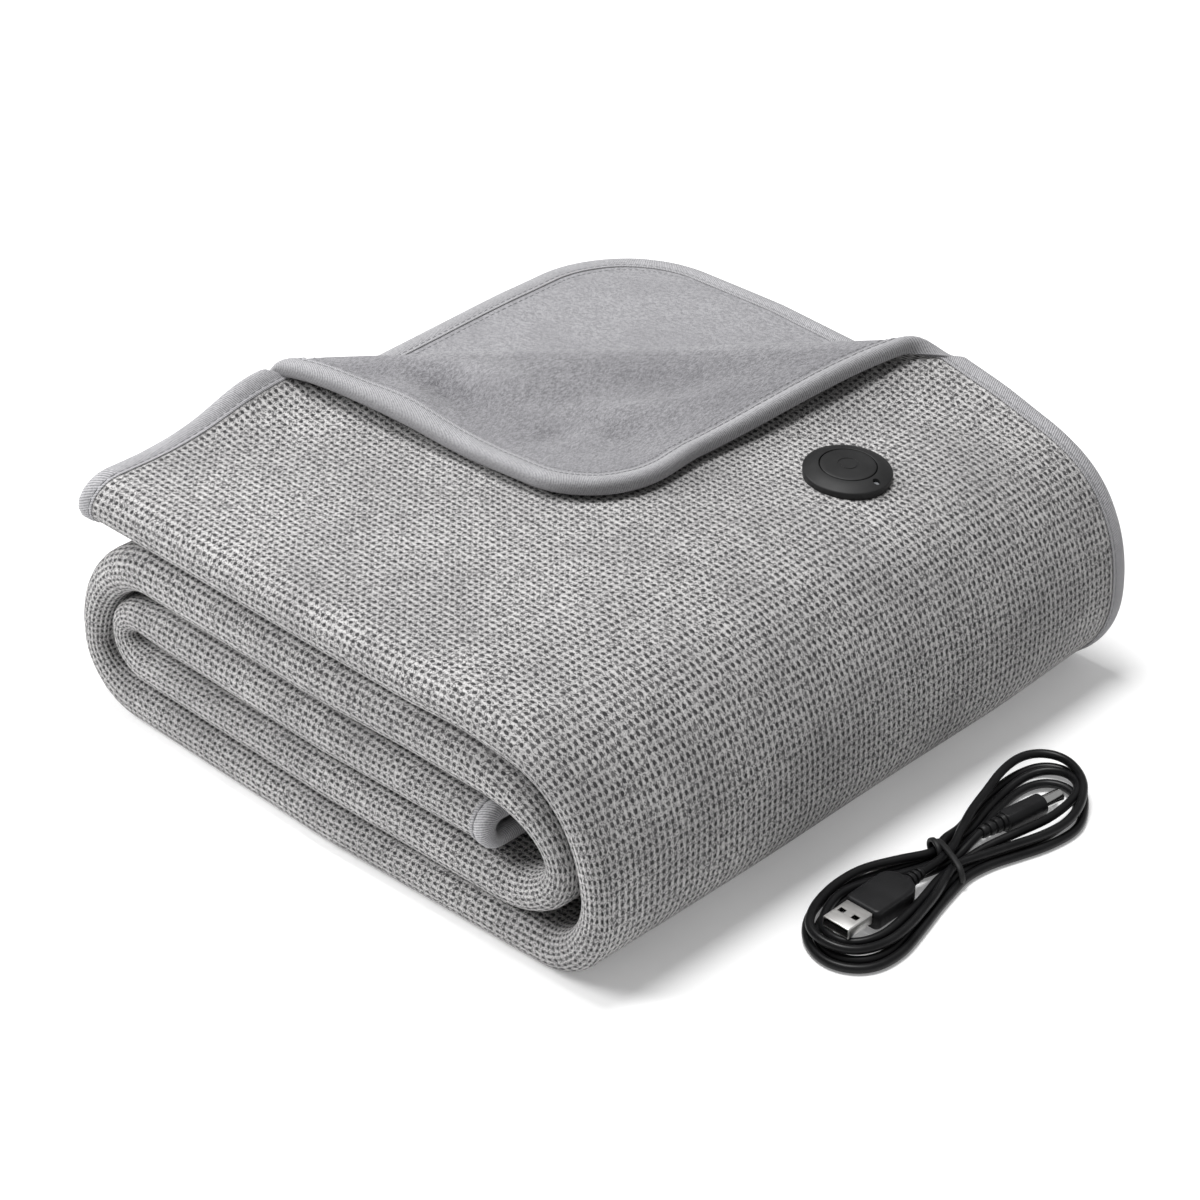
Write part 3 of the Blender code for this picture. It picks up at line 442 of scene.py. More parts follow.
plated_steel = nickel("plated_steel", marks_per_metre=(260.0, 4200.0, 260.0),
                      dull=(0.74, 0.73, 0.71), bright=(0.82, 0.81, 0.79), roughness=(0.34, 0.42))
shell_y = USB_MOUTH_Y + USB_SHELL[1] / 2
shell_bm = bmesh.new()
block(shell_bm, USB_SHELL, (USB_X, shell_y, USB_SHELL_Z), SHELL_EDGE)
usb_shell = new_piece("usb_plug_shell", mesh_from(shell_bm, "usb_plug_shell"), plated_steel)
hollow_bm = bmesh.new()
block(hollow_bm, (USB_SHELL[0] - 2 * SHELL_WALL, USB_SHELL[1], USB_SHELL[2] - 2 * SHELL_WALL),
      (USB_X, shell_y - SHELL_BACK, USB_SHELL_Z))
carve(usb_shell, hollow_bm)
for face in (-1, 1):
    for side in (-1, 1):
        window_bm = bmesh.new()
        block(window_bm, WINDOW, (USB_X + side * WINDOW_OFFSET, USB_MOUTH_Y + WINDOW_DEPTH,
                                  USB_SHELL_Z + face * USB_SHELL[2] / 2))
        carve(usb_shell, window_bm)
shade(usb_shell, sharp=35)

tongue_y = USB_MOUTH_Y + TONGUE_INSET + TONGUE[1] / 2
tongue_z = USB_SHELL_Z - USB_SHELL[2] / 2 + SHELL_WALL + TONGUE_GAP + TONGUE[2] / 2
tongue_bm = bmesh.new()
block(tongue_bm, TONGUE, (USB_X, tongue_y, tongue_z), TONGUE_EDGE, segments=2)
tongue_nylon = moulded_black("tongue_nylon", colour=(0.008, 0.008, 0.008), roughness=0.6,
                             grain=2200.0, relief=0.02 * MM)
usb_tongue = new_piece("usb_contact_tongue", mesh_from(tongue_bm, "usb_contact_tongue"),
                       tongue_nylon)
contacts_bm = bmesh.new()
for k in range(CONTACT_COUNT):
    block(contacts_bm, CONTACT, (USB_X + (k - (CONTACT_COUNT - 1) / 2) * CONTACT_PITCH,
                                 tongue_y - CONTACT_FORWARD,
                                 tongue_z + TONGUE[2] / 2 + CONTACT_RISE))
usb_contacts = new_piece("usb_contacts", mesh_from(contacts_bm, "usb_contacts"), plated_steel)

outline = bpy.data.curves.new("usb_overmould_outline", "CURVE")
outline.dimensions = "2D"
outline.fill_mode = "BOTH"
outline.extrude = OVERMOULD[2] / 2 - OVERMOULD_EDGE
outline.bevel_depth = OVERMOULD_EDGE
outline.bevel_resolution = 4
grip = outline.splines.new("POLY")
grip_points = []
for side, end, first in ((1, "shell", -90), (1, "cable", 0), (-1, "cable", 90), (-1, "shell", 180)):
    radius = SHOULDERS[end]
    middle_x = side * (OVERMOULD[0] / 2 - OVERMOULD_EDGE - radius)
    middle_y = OVERMOULD_EDGE + radius
    if end == "cable":
        middle_y = OVERMOULD[1] - middle_y
    for k in range(SHOULDER_STEPS + 1):
        angle = math.radians(first + 90 * k / SHOULDER_STEPS)
        grip_points.append((middle_x + radius * math.cos(angle),
                            middle_y + radius * math.sin(angle)))
grip.points.add(len(grip_points) - 1)
grip.use_cyclic_u = True
for knot, (x, y) in zip(grip.points, grip_points):
    knot.co = (x, y, 0.0, 1.0)


WELD = 1e-6


def mesh_of_curve(curve, name):
    """The closed mesh of a curve, with its loose edges welded."""
    guide = bpy.data.objects.new(name, curve)
    bpy.context.scene.collection.objects.link(guide)
    evaluated = guide.evaluated_get(bpy.context.evaluated_depsgraph_get())
    mesh = bpy.data.meshes.new_from_object(evaluated)
    bpy.data.objects.remove(guide, do_unlink=True)
    bm = bmesh.new()
    bm.from_mesh(mesh)
    bpy.data.meshes.remove(mesh)
    bmesh.ops.remove_doubles(bm, verts=bm.verts[:], dist=WELD)
    return mesh_from(bm, name)


plug_black = moulded_black("plug_black", colour=(0.007, 0.007, 0.0078), roughness=0.46,
                           grain=2200.0, relief=0.03 * MM)
overmould_y = USB_MOUTH_Y + USB_SHELL[1] + OVERMOULD_GAP
usb_grip_mesh = mesh_of_curve(outline, "usb_grip")
usb_grip_mesh.transform(Matrix.Translation((USB_X, overmould_y, OVERMOULD_Z)))
usb_grip = new_piece("usb_grip", usb_grip_mesh, plug_black)

# One rib of a neck and the groove before it: share of the ribs' pitch, and depth in mm.
RIB_SECTION = ((0.0, 0.0), (0.06, 0.75), (0.36, 0.75), (0.42, 0.08), (0.5, 0.0))
FIRST_GROOVE = 0.42
NECK_TIP = 0.3 * MM


def ribbed_neck(length, thick, thin, ribs):
    """The outline of a tapered neck with rounded ribs: radius and distance from its thick end."""
    points = [(0.0, 0.0), (thick, 0.0)]
    pitch = length / (ribs + 0.5)
    for k in range(ribs):
        start = pitch * (k + FIRST_GROOVE)
        outer = thick + (thin - thick) * (start + pitch / 2) / length
        points += [(outer - depth * MM, start + pitch * share) for share, depth in RIB_SECTION]
    points += [(thin, length - NECK_TIP), (thin - NECK_TIP, length), (0.0, length)]
    return points


def turned_mesh(name, outline_points, steps=48):
    """A closed solid turned round Z from (radius, height) points."""
    bm = bmesh.new()
    chain = [bm.verts.new((radius, 0.0, height)) for radius, height in outline_points]
    edges = [bm.edges.new(pair) for pair in zip(chain, chain[1:])]
    bmesh.ops.spin(bm, geom=chain + edges, cent=(0, 0, 0), axis=(0, 0, 1),
                   angle=2 * math.pi, steps=steps, use_duplicate=False)
    bmesh.ops.remove_doubles(bm, verts=bm.verts[:], dist=WELD)
    return mesh_from(bm, name)


def lay_along(mesh, start, angle, height):
    """Lays a piece turned round Z on its side, from start towards the given angle in plan."""
    travel = Vector((math.cos(angle), math.sin(angle), 0.0))
    up = Vector((0.0, 0.0, 1.0))
    turn = Matrix((up.cross(travel), up, travel)).transposed().to_4x4()
    mesh.transform(Matrix.Translation((start[0], start[1], height)) @ turn)
    return mesh


usb_neck_mesh = lay_along(turned_mesh("usb_neck", ribbed_neck(**NECK)),
                          (USB_X, overmould_y + OVERMOULD[1] + NECK_GAP), math.pi / 2, OVERMOULD_Z)
usb_neck = new_piece("usb_neck", usb_neck_mesh, plug_black)
for piece, slot, node in ((usb_shell, "plated_shell", "usb_shell"),
                          (usb_tongue, "black_plug", "usb_tongue"),
                          (usb_contacts, "plated_shell", None),
                          (usb_grip, "black_plug", "usb_overmould"),
                          (usb_neck, "black_plug", "usb_strain_relief")):
    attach(piece, "root")
    if node:
        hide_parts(node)


# ---------------------------------------------------------------- DC plug
# Round black moulded body with two soft flats for the fingers, a ribbed neck, and a bright
# nickel-plated barrel with its black inner ring and bore.
DC_START = np.array((173.23 * MM + ROLL_ZERO.x, 21.11 * MM + ROLL_ZERO.y))
DC_ANGLE = math.radians(81.0)
DC_Z = 5.2 * MM
DC_NECK = {"length": 11.0 * MM, "thick": 3.5 * MM, "thin": 2.45 * MM, "ribs": 3}
DC_BODY_RADIUS = 4.4 * MM
DC_BODY_LENGTH = 19.5 * MM
DC_SHOULDER = 1.0 * MM
DC_FLAT = DC_BODY_RADIUS - 0.55 * MM
DC_BARREL_RADIUS = 2.75 * MM
DC_BARREL_LENGTH = 9.5 * MM
DC_INNER_RADIUS = 1.95 * MM
DC_BORE_RADIUS = 1.05 * MM
BARREL_GAP = 0.3 * MM
# How the turned pieces end: distance in from their radius and back from their end, in mm.
BODY_END = ((0.0, 0.6), (0.2, 0.2), (0.6, 0.0))
BARREL_MOUTH = ((0.0, 0.35), (0.12, 0.1), (0.35, 0.0), (0.7, 0.0), (0.7, 0.8))
# How far the inner ring's back, its bore's floor and its face lie behind the mouth, in mm.
INNER_RING_BACK = (1.5, 1.2, 0.4)


def turned_end(radius, length, section):
    return [(radius - inset * MM, length - back * MM) for inset, back in section]


dc_travel = np.array((math.cos(DC_ANGLE), math.sin(DC_ANGLE)))
neck_end = DC_START + dc_travel * DC_NECK["length"]
dc_neck_mesh = lay_along(turned_mesh("dc_neck", ribbed_neck(**DC_NECK)),
                         neck_end, DC_ANGLE + math.pi, DC_Z)
dc_neck = new_piece("dc_neck", dc_neck_mesh, plug_black)
body_points = [(0.0, 0.0), (DC_BODY_RADIUS - DC_SHOULDER, 0.0)]
body_points += [(DC_BODY_RADIUS - DC_SHOULDER * (1 - math.sin(turn)),
                 DC_SHOULDER * (1 - math.cos(turn))) for turn in np.linspace(0.2, math.pi / 2, 5)]
body_points += [*turned_end(DC_BODY_RADIUS, DC_BODY_LENGTH, BODY_END), (0.0, DC_BODY_LENGTH)]
body_mesh = turned_mesh("dc_body", body_points, 64)
for vertex in body_mesh.vertices:
    vertex.co.y = max(-DC_FLAT, min(DC_FLAT, vertex.co.y))
body_start = neck_end + dc_travel * NECK_GAP
dc_body = new_piece("dc_body", lay_along(body_mesh, body_start, DC_ANGLE, DC_Z), plug_black)
barrel_start = neck_end + dc_travel * (DC_BODY_LENGTH + BARREL_GAP)
barrel_points = [(0.0, 0.0), (DC_BARREL_RADIUS, 0.0)]
barrel_points += turned_end(DC_BARREL_RADIUS, DC_BARREL_LENGTH, BARREL_MOUTH)
barrel_points += [(0.0, barrel_points[-1][1])]
bright_nickel = nickel("bright_nickel", marks_per_metre=(700.0, 700.0, 700.0),
                       dull=(0.74, 0.74, 0.73), bright=(0.86, 0.86, 0.85), roughness=(0.1, 0.2))
dc_barrel = new_piece("dc_barrel_sleeve", lay_along(turned_mesh("dc_barrel_sleeve", barrel_points),
                                                    barrel_start, DC_ANGLE, DC_Z), bright_nickel)
ring_back, bore_floor, ring_face = (DC_BARREL_LENGTH - back * MM for back in INNER_RING_BACK)
insulator_mesh = turned_mesh("dc_insulator", (
    (0.0, ring_back), (DC_INNER_RADIUS, ring_back), (DC_INNER_RADIUS, ring_face),
    (DC_BORE_RADIUS, ring_face), (DC_BORE_RADIUS, bore_floor), (0.0, bore_floor)), 32)
dc_insulator = new_piece("dc_insulator", lay_along(insulator_mesh, barrel_start, DC_ANGLE, DC_Z),
                         plug_black)
for piece, slot, node in ((dc_neck, "black_plug", "dc_strain_relief"),
                          (dc_body, "black_plug", "dc_plug_body"),
                          (dc_barrel, "bright_barrel", "dc_barrel"),
                          (dc_insulator, "black_plug", None)):
    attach(piece, "root")
    if node:
        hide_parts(node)


# ---------------------------------------------------------------- how the blanket lies
# The blanket is cut as one rounded rectangle of two layers. It is folded in half lengthwise,
# rolled up flat into five doubled layers, and the top layer's far left corner is turned back.
KNIT_THICK = 2.2 * MM
FLEECE_THICK = 2.4 * MM
LAYER_GAP = 0.3 * MM
PLY_HALF = (KNIT_THICK + LAYER_GAP + FLEECE_THICK) / 2
TAPE_HALF = PLY_HALF + 1.0 * MM
BLANKET_WIDTH = 612 * MM
CORNER_RADIUS = 50 * MM
FOLD_ARC = 24 * MM
PLY = (BLANKET_WIDTH - FOLD_ARC) / 2
# The roll seen from the near side: stations on the middle of the doubled cloth, from its outer
# end on top to its inner end. x and z in mm, heading in degrees, thick the doubled cloth's
# thickness; fold_y, low_y and high_y are its folded side and its two bound edges.
ROLL_COLUMNS = ("x", "z", "heading", "thick", "fold_y", "low_y", "high_y")
ROLL = (
    (-138.0, 95.2, 0.0, 22.2, -152.8, 155.5, 151.0),
    (50.0, 94.1, 0.0, 20.0, -152.3, 155.0, 151.0),
    (96.0, 91.0, -9.0, 18.6, -150.0, 152.0, 151.0),
    (133.7, 40.0, -90.0, 12.6, -147.0, 150.0, 151.5),
    (109.0, 8.8, -180.0, 17.6, -147.5, 149.0, 151.5),
    (0.0, 8.8, -180.0, 17.6, -152.6, 150.0, 152.0),
    (-116.0, 8.8, -180.0, 17.6, -151.6, 151.5, 153.0),
    (-139.9, 29.0, -270.0, 12.0, -150.5, 151.0, 153.0),
    (-100.0, 72.0, -360.0, 21.4, -151.5, 149.5, 151.0),
    (0.0, 72.2, -360.0, 22.0, -152.6, 148.0, 150.0),
    (78.0, 71.6, -362.0, 21.0, -150.5, 149.0, 150.5),
    (117.4, 47.0, -450.0, 12.4, -148.0, 150.0, 152.0),
    (90.0, 28.0, -540.0, 18.4, -149.5, 150.5, 152.0),
    (0.0, 28.3, -540.0, 19.4, -152.0, 150.0, 151.0),
    (-108.0, 28.2, -540.0, 15.5, -151.5, 149.0, 150.0),
    (-122.8, 38.6, -630.0, 11.6, -149.0, 149.5, 150.5),
    (-108.0, 49.2, -720.0, 15.5, -150.0, 150.0, 151.0),
    (-90.0, 49.6, -720.0, 19.6, -151.0, 150.5, 151.5),
    (0.0, 49.6, -720.0, 20.8, -152.4, 151.0, 152.0),
    (88.0, 49.4, -720.0, 16.4, -150.0, 151.0, 152.0),
)
# Handles of the curve from one station to the next, as a share of their distance; the steps
# along it on the flats and in the curls, which turn by more than so many degrees.
BEND_HANDLE = 0.55
CURVE_POINTS = 241
FLAT_STEP = 7.0 * MM
CURL_STEP = 2.6 * MM
CURL_TURN = 40


def roll_table():
    """Close stations along the whole roll, as arrays over the blanket's length u."""
    rows = [dict(zip(ROLL_COLUMNS, row)) for row in ROLL]
    table = {name: [] for name in ("u", "x", "z", "nx", "nz", "thick", "fold_y", "low_y", "high_y")}
    gone = 0.0
    for start, end in zip(rows, rows[1:]):
        a, b = (np.array((row["x"], row["z"])) * MM for row in (start, end))
        turns = [math.radians(row["heading"]) for row in (start, end)]
        dir_a, dir_b = (np.array((math.cos(t), math.sin(t))) for t in turns)
        c = a + dir_a * BEND_HANDLE * abs((b - a) @ dir_a)
        d = b - dir_b * BEND_HANDLE * abs((b - a) @ dir_b)
        t = np.linspace(0, 1, CURVE_POINTS)[:, None]
        s = 1 - t
        line = s ** 3 * a + 3 * s * s * t * c + 3 * s * t * t * d + t ** 3 * b
        travel = s * s * (c - a) + 2 * s * t * (d - c) + t * t * (b - d)
        travel /= np.linalg.norm(travel, axis=1)[:, None]
        reach = np.concatenate(([0.0], np.cumsum(np.linalg.norm(np.diff(line, axis=0), axis=1))))
        curls = abs(end["heading"] - start["heading"]) > CURL_TURN
        count = max(2, math.ceil(reach[-1] / (CURL_STEP if curls else FLAT_STEP)))
        first = 0 if start is rows[0] else 1
        for k in range(first, count + 1):
            share = k / count
            j = min(int(np.searchsorted(reach, share * reach[-1])), len(line) - 1)
            table["u"].append(gone + share * reach[-1])
            table["x"].append(line[j, 0])
            table["z"].append(line[j, 1])
            table["nx"].append(-travel[j, 1])
            table["nz"].append(travel[j, 0])
            for key in ("thick", "fold_y", "low_y", "high_y"):
                table[key].append((start[key] + (end[key] - start[key]) * share) * MM)
        gone += reach[-1]
    return {key: np.array(values) for key, values in table.items()}


ROLL_AT = roll_table()
BLANKET_LENGTH = float(ROLL_AT["u"][-1])
FIRST_CURL_U = float(ROLL_AT["u"][int(np.argmax(ROLL_AT["x"]))])
OUTER_END = dict(zip(ROLL_COLUMNS, ROLL[0]))
FOLD_LINE_Y = (OUTER_END["fold_y"] + OUTER_END["thick"] / 2) * MM
# Where the bound edges lie together the plies are pinched, and at the outer end the upper ply
# stops short while the lower one runs past it with its free corner standing up a little.
PINCH = 1.5 * MM
PINCH_FROM = 0.75
PINCH_ROOM = ROLL_AT["thick"] / 2 - PLY_HALF - TAPE_HALF - 0.2 * MM
EVEN_FROM, EVEN_RUN = 0.02, 0.1
END_FADE = 188 * MM
UPPER_SHORT = 8 * MM
LOWER_LONG = 6.5 * MM
CORNER_LIFT = 8.5 * MM
LIFT_ACROSS = (0.25, 0.75)
LIFT_ALONG = (94 * MM, 234 * MM)
# The turned-back corner: its crease as a line in plan, the swell up to it, the two bends over
# its crest, and how the cloth beyond it slides as it comes down and lies on the top.
CREASE_POINT = np.array((-111.54, -43.05)) * MM
CREASE_ANGLE = math.radians(49.4)
CREASE_ALONG = np.array((math.cos(CREASE_ANGLE), math.sin(CREASE_ANGLE)))
CREASE_OUT = np.array((-math.sin(CREASE_ANGLE), math.cos(CREASE_ANGLE)))
SWELL = {"run": 46 * MM, "height": 8.8 * MM, "power": 1.5}
CREST_RADIUS = 4.5 * MM
FALL_RUN = 75 * MM
LIE_HEIGHT = 6.9 * MM
LIE_REACH = 0.83
CREST_SLIDE = (-9.1 * MM, -0.013)
LIE_SLIDE = (3.0 * MM, -0.202)
LIE_SKEW = -0.0895
FLAP_LIMIT = 200 * MM


def turn_table():
    """Rows across the crease: distance beyond it, out, height, tilt (2), shift, stretch."""
    rows = []

    def keep(beyond, out, height, tilt, slide):
        rows.append((beyond, out, height, -math.sin(tilt), math.cos(tilt), *slide))

    run, height_to, power = SWELL["run"], SWELL["height"], SWELL["power"]
    lean = math.atan(power * height_to / run)
    for t in np.linspace(0, 1, 10):
        keep(run * (t - 1), run * (t - 1), height_to * t ** power,
             math.atan(power * t ** (power - 1) * height_to / run), (0, 0))
    rise_arc = CREST_RADIUS * (math.pi / 2 - lean)
    crest = rise_arc + CREST_RADIUS * math.pi / 2
    for tilt in np.linspace(lean, math.pi / 2, 9)[1:]:
        beyond = CREST_RADIUS * (tilt - lean)
        keep(beyond, CREST_RADIUS * (math.sin(tilt) - math.sin(lean)),
             height_to + CREST_RADIUS * (math.cos(lean) - math.cos(tilt)), tilt,
             [v * beyond / crest for v in CREST_SLIDE])
    far_out, middle = rows[-1][1], rows[-1][2]
    for tilt in np.linspace(math.pi / 2, math.pi, 11)[1:]:
        beyond = rise_arc + CREST_RADIUS * (tilt - math.pi / 2)
        keep(beyond, far_out - CREST_RADIUS * (1 - math.sin(tilt)),
             middle - CREST_RADIUS * math.cos(tilt), tilt,
             [v * beyond / crest for v in CREST_SLIDE])
    out, top = rows[-1][1], rows[-1][2]
    for t in [*np.linspace(0, 1, 16)[1:], None]:
        gone = FALL_RUN * t if t is not None else FLAP_LIMIT
        share = t if t is not None else 1.0
        slide = [a + (b - a) * share for a, b in zip(CREST_SLIDE, LIE_SLIDE)]
        slide[0] += LIE_SKEW * gone
        fallen = share * share * (3 - 2 * share)
        keep(crest + gone, out - LIE_REACH * gone, top + (LIE_HEIGHT - top) * fallen,
             math.pi, slide)
    return np.array(rows), crest


TURN_ROWS, TURN_END = turn_table()
SCORE_SNAP = 1e-5
# Slow unevenness of the lying cloth: soft dents and swells at given places of the flat
# blanket. Centre and reach in mm along u and w, slant in degrees, height in mm.
DENT_COLUMNS = ("u", "w", "reach_u", "reach_w", "slant", "height")
DENTS = (
    (-5, 388, 15, 24, 0, 8.0),
    (26, 487, 21, 8, 98, 3.2),
    (44, 498, 22, 10, 85, -2.4),
    (10, 480, 20, 8, 95, -1.8),
    (16, 456, 12, 7, 90, 1.4),
    (48, 522, 22, 10, 55, 1.3),
    (32, 548, 12, 6, 50, 1.8),
    (40, 560, 12, 6, 40, -1.6),
    (52, 572, 12, 6, 45, 1.6),
    (66, 560, 22, 7, 45, -1.6),
    (86, 548, 30, 9, 50, 1.4),
    (98, 580, 16, 7, 20, -1.2),
    (112, 512, 34, 10, 50, 1.6),
    (140, 548, 22, 8, 40, -1.1),
    (40, 345, 46, 18, 10, 0.7),
    (90, 372, 60, 14, 60, -0.7),
    (200, 520, 30, 22, 80, -0.8),
    (170, 440, 60, 20, 30, 0.6),
    (250, 360, 50, 26, 0, 0.6),
    (275, 470, 40, 30, 90, -0.7),
    (300, 560, 24, 30, 80, 0.7),
    (330, 400, 20, 60, 0, 0.6),
    (60, 120, 40, 20, 40, -0.8),
    (30, 70, 24, 16, 20, 0.7),
)


def ramp(value, start, run):
    return np.clip((value - start) / run, 0.0, 1.0)


def eased(value, start, run):
    t = ramp(value, start, run)
    return t * t * (3 - 2 * t)


def dents(u, w):
    """The dents and swells alone, along the cloth's own normal."""
    lift = 0.0 * u
    for row in DENTS:
        dent = dict(zip(DENT_COLUMNS, row))
        slant = math.radians(dent["slant"])
        du, dw = u - dent["u"] * MM, w - dent["w"] * MM
        along = (du * math.cos(slant) + dw * math.sin(slant)) / (dent["reach_u"] * MM)
        across = (-du * math.sin(slant) + dw * math.cos(slant)) / (dent["reach_w"] * MM)
        lift = lift + dent["height"] * MM * np.exp(-along * along - across * across)
    return lift


RIPPLE_HEIGHT = 0.22 * MM


def unevenness(u, w):
    """How far the cloth stands off its even fold, along its own normal."""
    ripple = (np.sin(u / 0.031 + 1.7 * np.sin(w / 0.083)) * np.sin(w / 0.047 + 0.6)
              + 0.7 * np.sin(u / 0.019 + w / 0.06) * np.sin(w / 0.029 + 2.0))
    return RIPPLE_HEIGHT * ripple + dents(u, w)


def roll_value(name, u):
    return np.interp(u, ROLL_AT["u"], ROLL_AT[name])


def fold(points):
    """Where points of the flat blanket (u, w, h) lie once it is folded, rolled and turned back."""
    u, w, h = np.array(points, float).T
    thick, fold_y = roll_value("thick", u), roll_value("fold_y", u)
    ply_mid = thick / 2 - PLY_HALF
    hinge_y = fold_y + thick / 2
    lower, upper = w < PLY, w > PLY + FOLD_ARC
    flat = lower | upper
    run = np.where(lower, PLY - w, w - PLY - FOLD_ARC) / PLY
    edge_y = np.where(lower, roll_value("low_y", u), roll_value("high_y", u))
    pinch_most = np.minimum(PINCH, np.interp(u, ROLL_AT["u"], PINCH_ROOM))
    pinch = np.where(flat, pinch_most * ramp(run, PINCH_FROM, 1 - PINCH_FROM), 0.0)
    h = h + unevenness(u, w) * np.where(flat, ramp(run, EVEN_FROM, EVEN_RUN), 0.0)
    angle = math.pi * (np.clip((w - PLY) / FOLD_ARC, 0, 1) - 0.5)
    side = np.where(lower, -1.0, 1.0)
    offset = np.where(flat, side * (ply_mid - pinch + h), (ply_mid + h) * np.sin(angle))
    y = np.where(flat, hinge_y + (edge_y - hinge_y) * run, hinge_y - (ply_mid + h) * np.cos(angle))
    nx, nz = roll_value("nx", u), roll_value("nz", u)
    size = np.hypot(nx, nz)
    nx, nz = nx / size, nz / size
    fade = 1.0 - ramp(u, 0.0, END_FADE)
    slide = fade * UPPER_SHORT * eased(w, PLY, FOLD_ARC)
    slide -= fade * LOWER_LONG * (1.0 - eased(w, PLY / 2, PLY / 2))
    lift = CORNER_LIFT * ramp(run, LIFT_ACROSS[0], LIFT_ACROSS[1] - LIFT_ACROSS[0])
    lift = np.where(lower, lift, 0.0)
    lift *= 1.0 - ramp(u, LIFT_ALONG[0], LIFT_ALONG[1] - LIFT_ALONG[0])
    x = roll_value("x", u) + offset * nx + slide
    z = roll_value("z", u) + offset * nz + lift
    plan = np.stack([x - h * nx, y], axis=1) - CREASE_POINT
    beyond = plan @ CREASE_OUT
    turned = upper & (u < FIRST_CURL_U) & (beyond > TURN_ROWS[0, 0])
    if turned.any():
        far = beyond[turned]
        out, height, tilt_out, tilt_up, shift, stretch = (
            np.interp(far, TURN_ROWS[:, 0], TURN_ROWS[:, k]) for k in range(1, 7))
        along = plan[turned] @ CREASE_ALONG
        along = along + shift + stretch * along
        spot = CREASE_POINT + along[:, None] * CREASE_ALONG + out[:, None] * CREASE_OUT
        height = height + pinch[turned] * eased(far, TURN_ROWS[0, 0], SWELL["run"] + TURN_END)
        h_t, nx_t, nz_t = h[turned], nx[turned], nz[turned]
        x[turned] = spot[:, 0] + h_t * (tilt_out * CREASE_OUT[0] + tilt_up * nx_t)
        y[turned] = spot[:, 1] + h_t * tilt_out * CREASE_OUT[1]
        z[turned] = z[turned] - h_t * nz_t + height + h_t * tilt_up * nz_t
    return np.stack([x, y, z], axis=1) + np.array(ROLL_ZERO)


# ---------------------------------------------------------------- knit face
# Heather grey structured knit, the blanket's outside: fine ribs along its length with a row of
# small eyelets sunk between them. Cut as one panel, and held only by the tape round its edge.
RIB_PITCH = 2.9 * MM
EYELET_PITCH = 3.15 * MM
SHEET_INSET = 1.5 * MM
CORNER_ANGLES = 12
CORNER_BAND = 58 * MM
# The panels' grid across the blanket: lines in from each edge and out from the fold in mm, how
# many lie between them on the lower and the upper half, and how many go half round the fold.
LINES_FROM_EDGE = (0, 2.5, 5, 7.5, 10, 13, 17, 22, 28, 35, 43, 51, 59)
LINES_FROM_FOLD = (18, 13, 9, 6, 3, 0)
PLAIN_FROM_FOLD = 24 * MM
PLAIN_LINES = {"lower": 24, "upper": 44}
ARC_LINES = 8
# Along the blanket the grid is twice as close up to here, where the turned corner is creased.
CREASED_END = 190 * MM
# The cloth is drawn this much short where it goes round the fold, so its pattern is let out.
ARC_STRETCH = 0.38


def sheet_lines():
    """The grid lines that a panel is drawn on, along u and w, closest where it bends."""
    arc = CORNER_RADIUS - SHEET_INSET
    ends = SHEET_INSET + arc * (1 - np.cos(np.linspace(0, math.pi / 2, CORNER_ANGLES + 1)))
    inner, clear = ROLL_AT["u"], CORNER_RADIUS + 2 * MM
    inner = inner[(inner > clear) & (inner < BLANKET_LENGTH - clear)]
    halfway = (inner[1:] + inner[:-1]) / 2
    inner = np.sort(np.concatenate((inner, halfway[halfway < CREASED_END])))
    lines_u = np.concatenate((ends, inner, np.sort(BLANKET_LENGTH - ends)))
    near_edge = SHEET_INSET + np.array(LINES_FROM_EDGE) * MM
    near_fold = PLY - np.array(LINES_FROM_FOLD) * MM
    arc_w = PLY + FOLD_ARC * np.linspace(0, 0.5, ARC_LINES)[1:]
    halves = {}
    for half, count in PLAIN_LINES.items():
        plain = np.linspace(near_edge[-1], PLY - PLAIN_FROM_FOLD, count)[1:]
        halves[half] = np.concatenate((near_edge, plain, near_fold, arc_w))
    lines_w = np.concatenate((halves["lower"], np.sort(BLANKET_WIDTH - halves["upper"][:-1])))
    return lines_u, lines_w


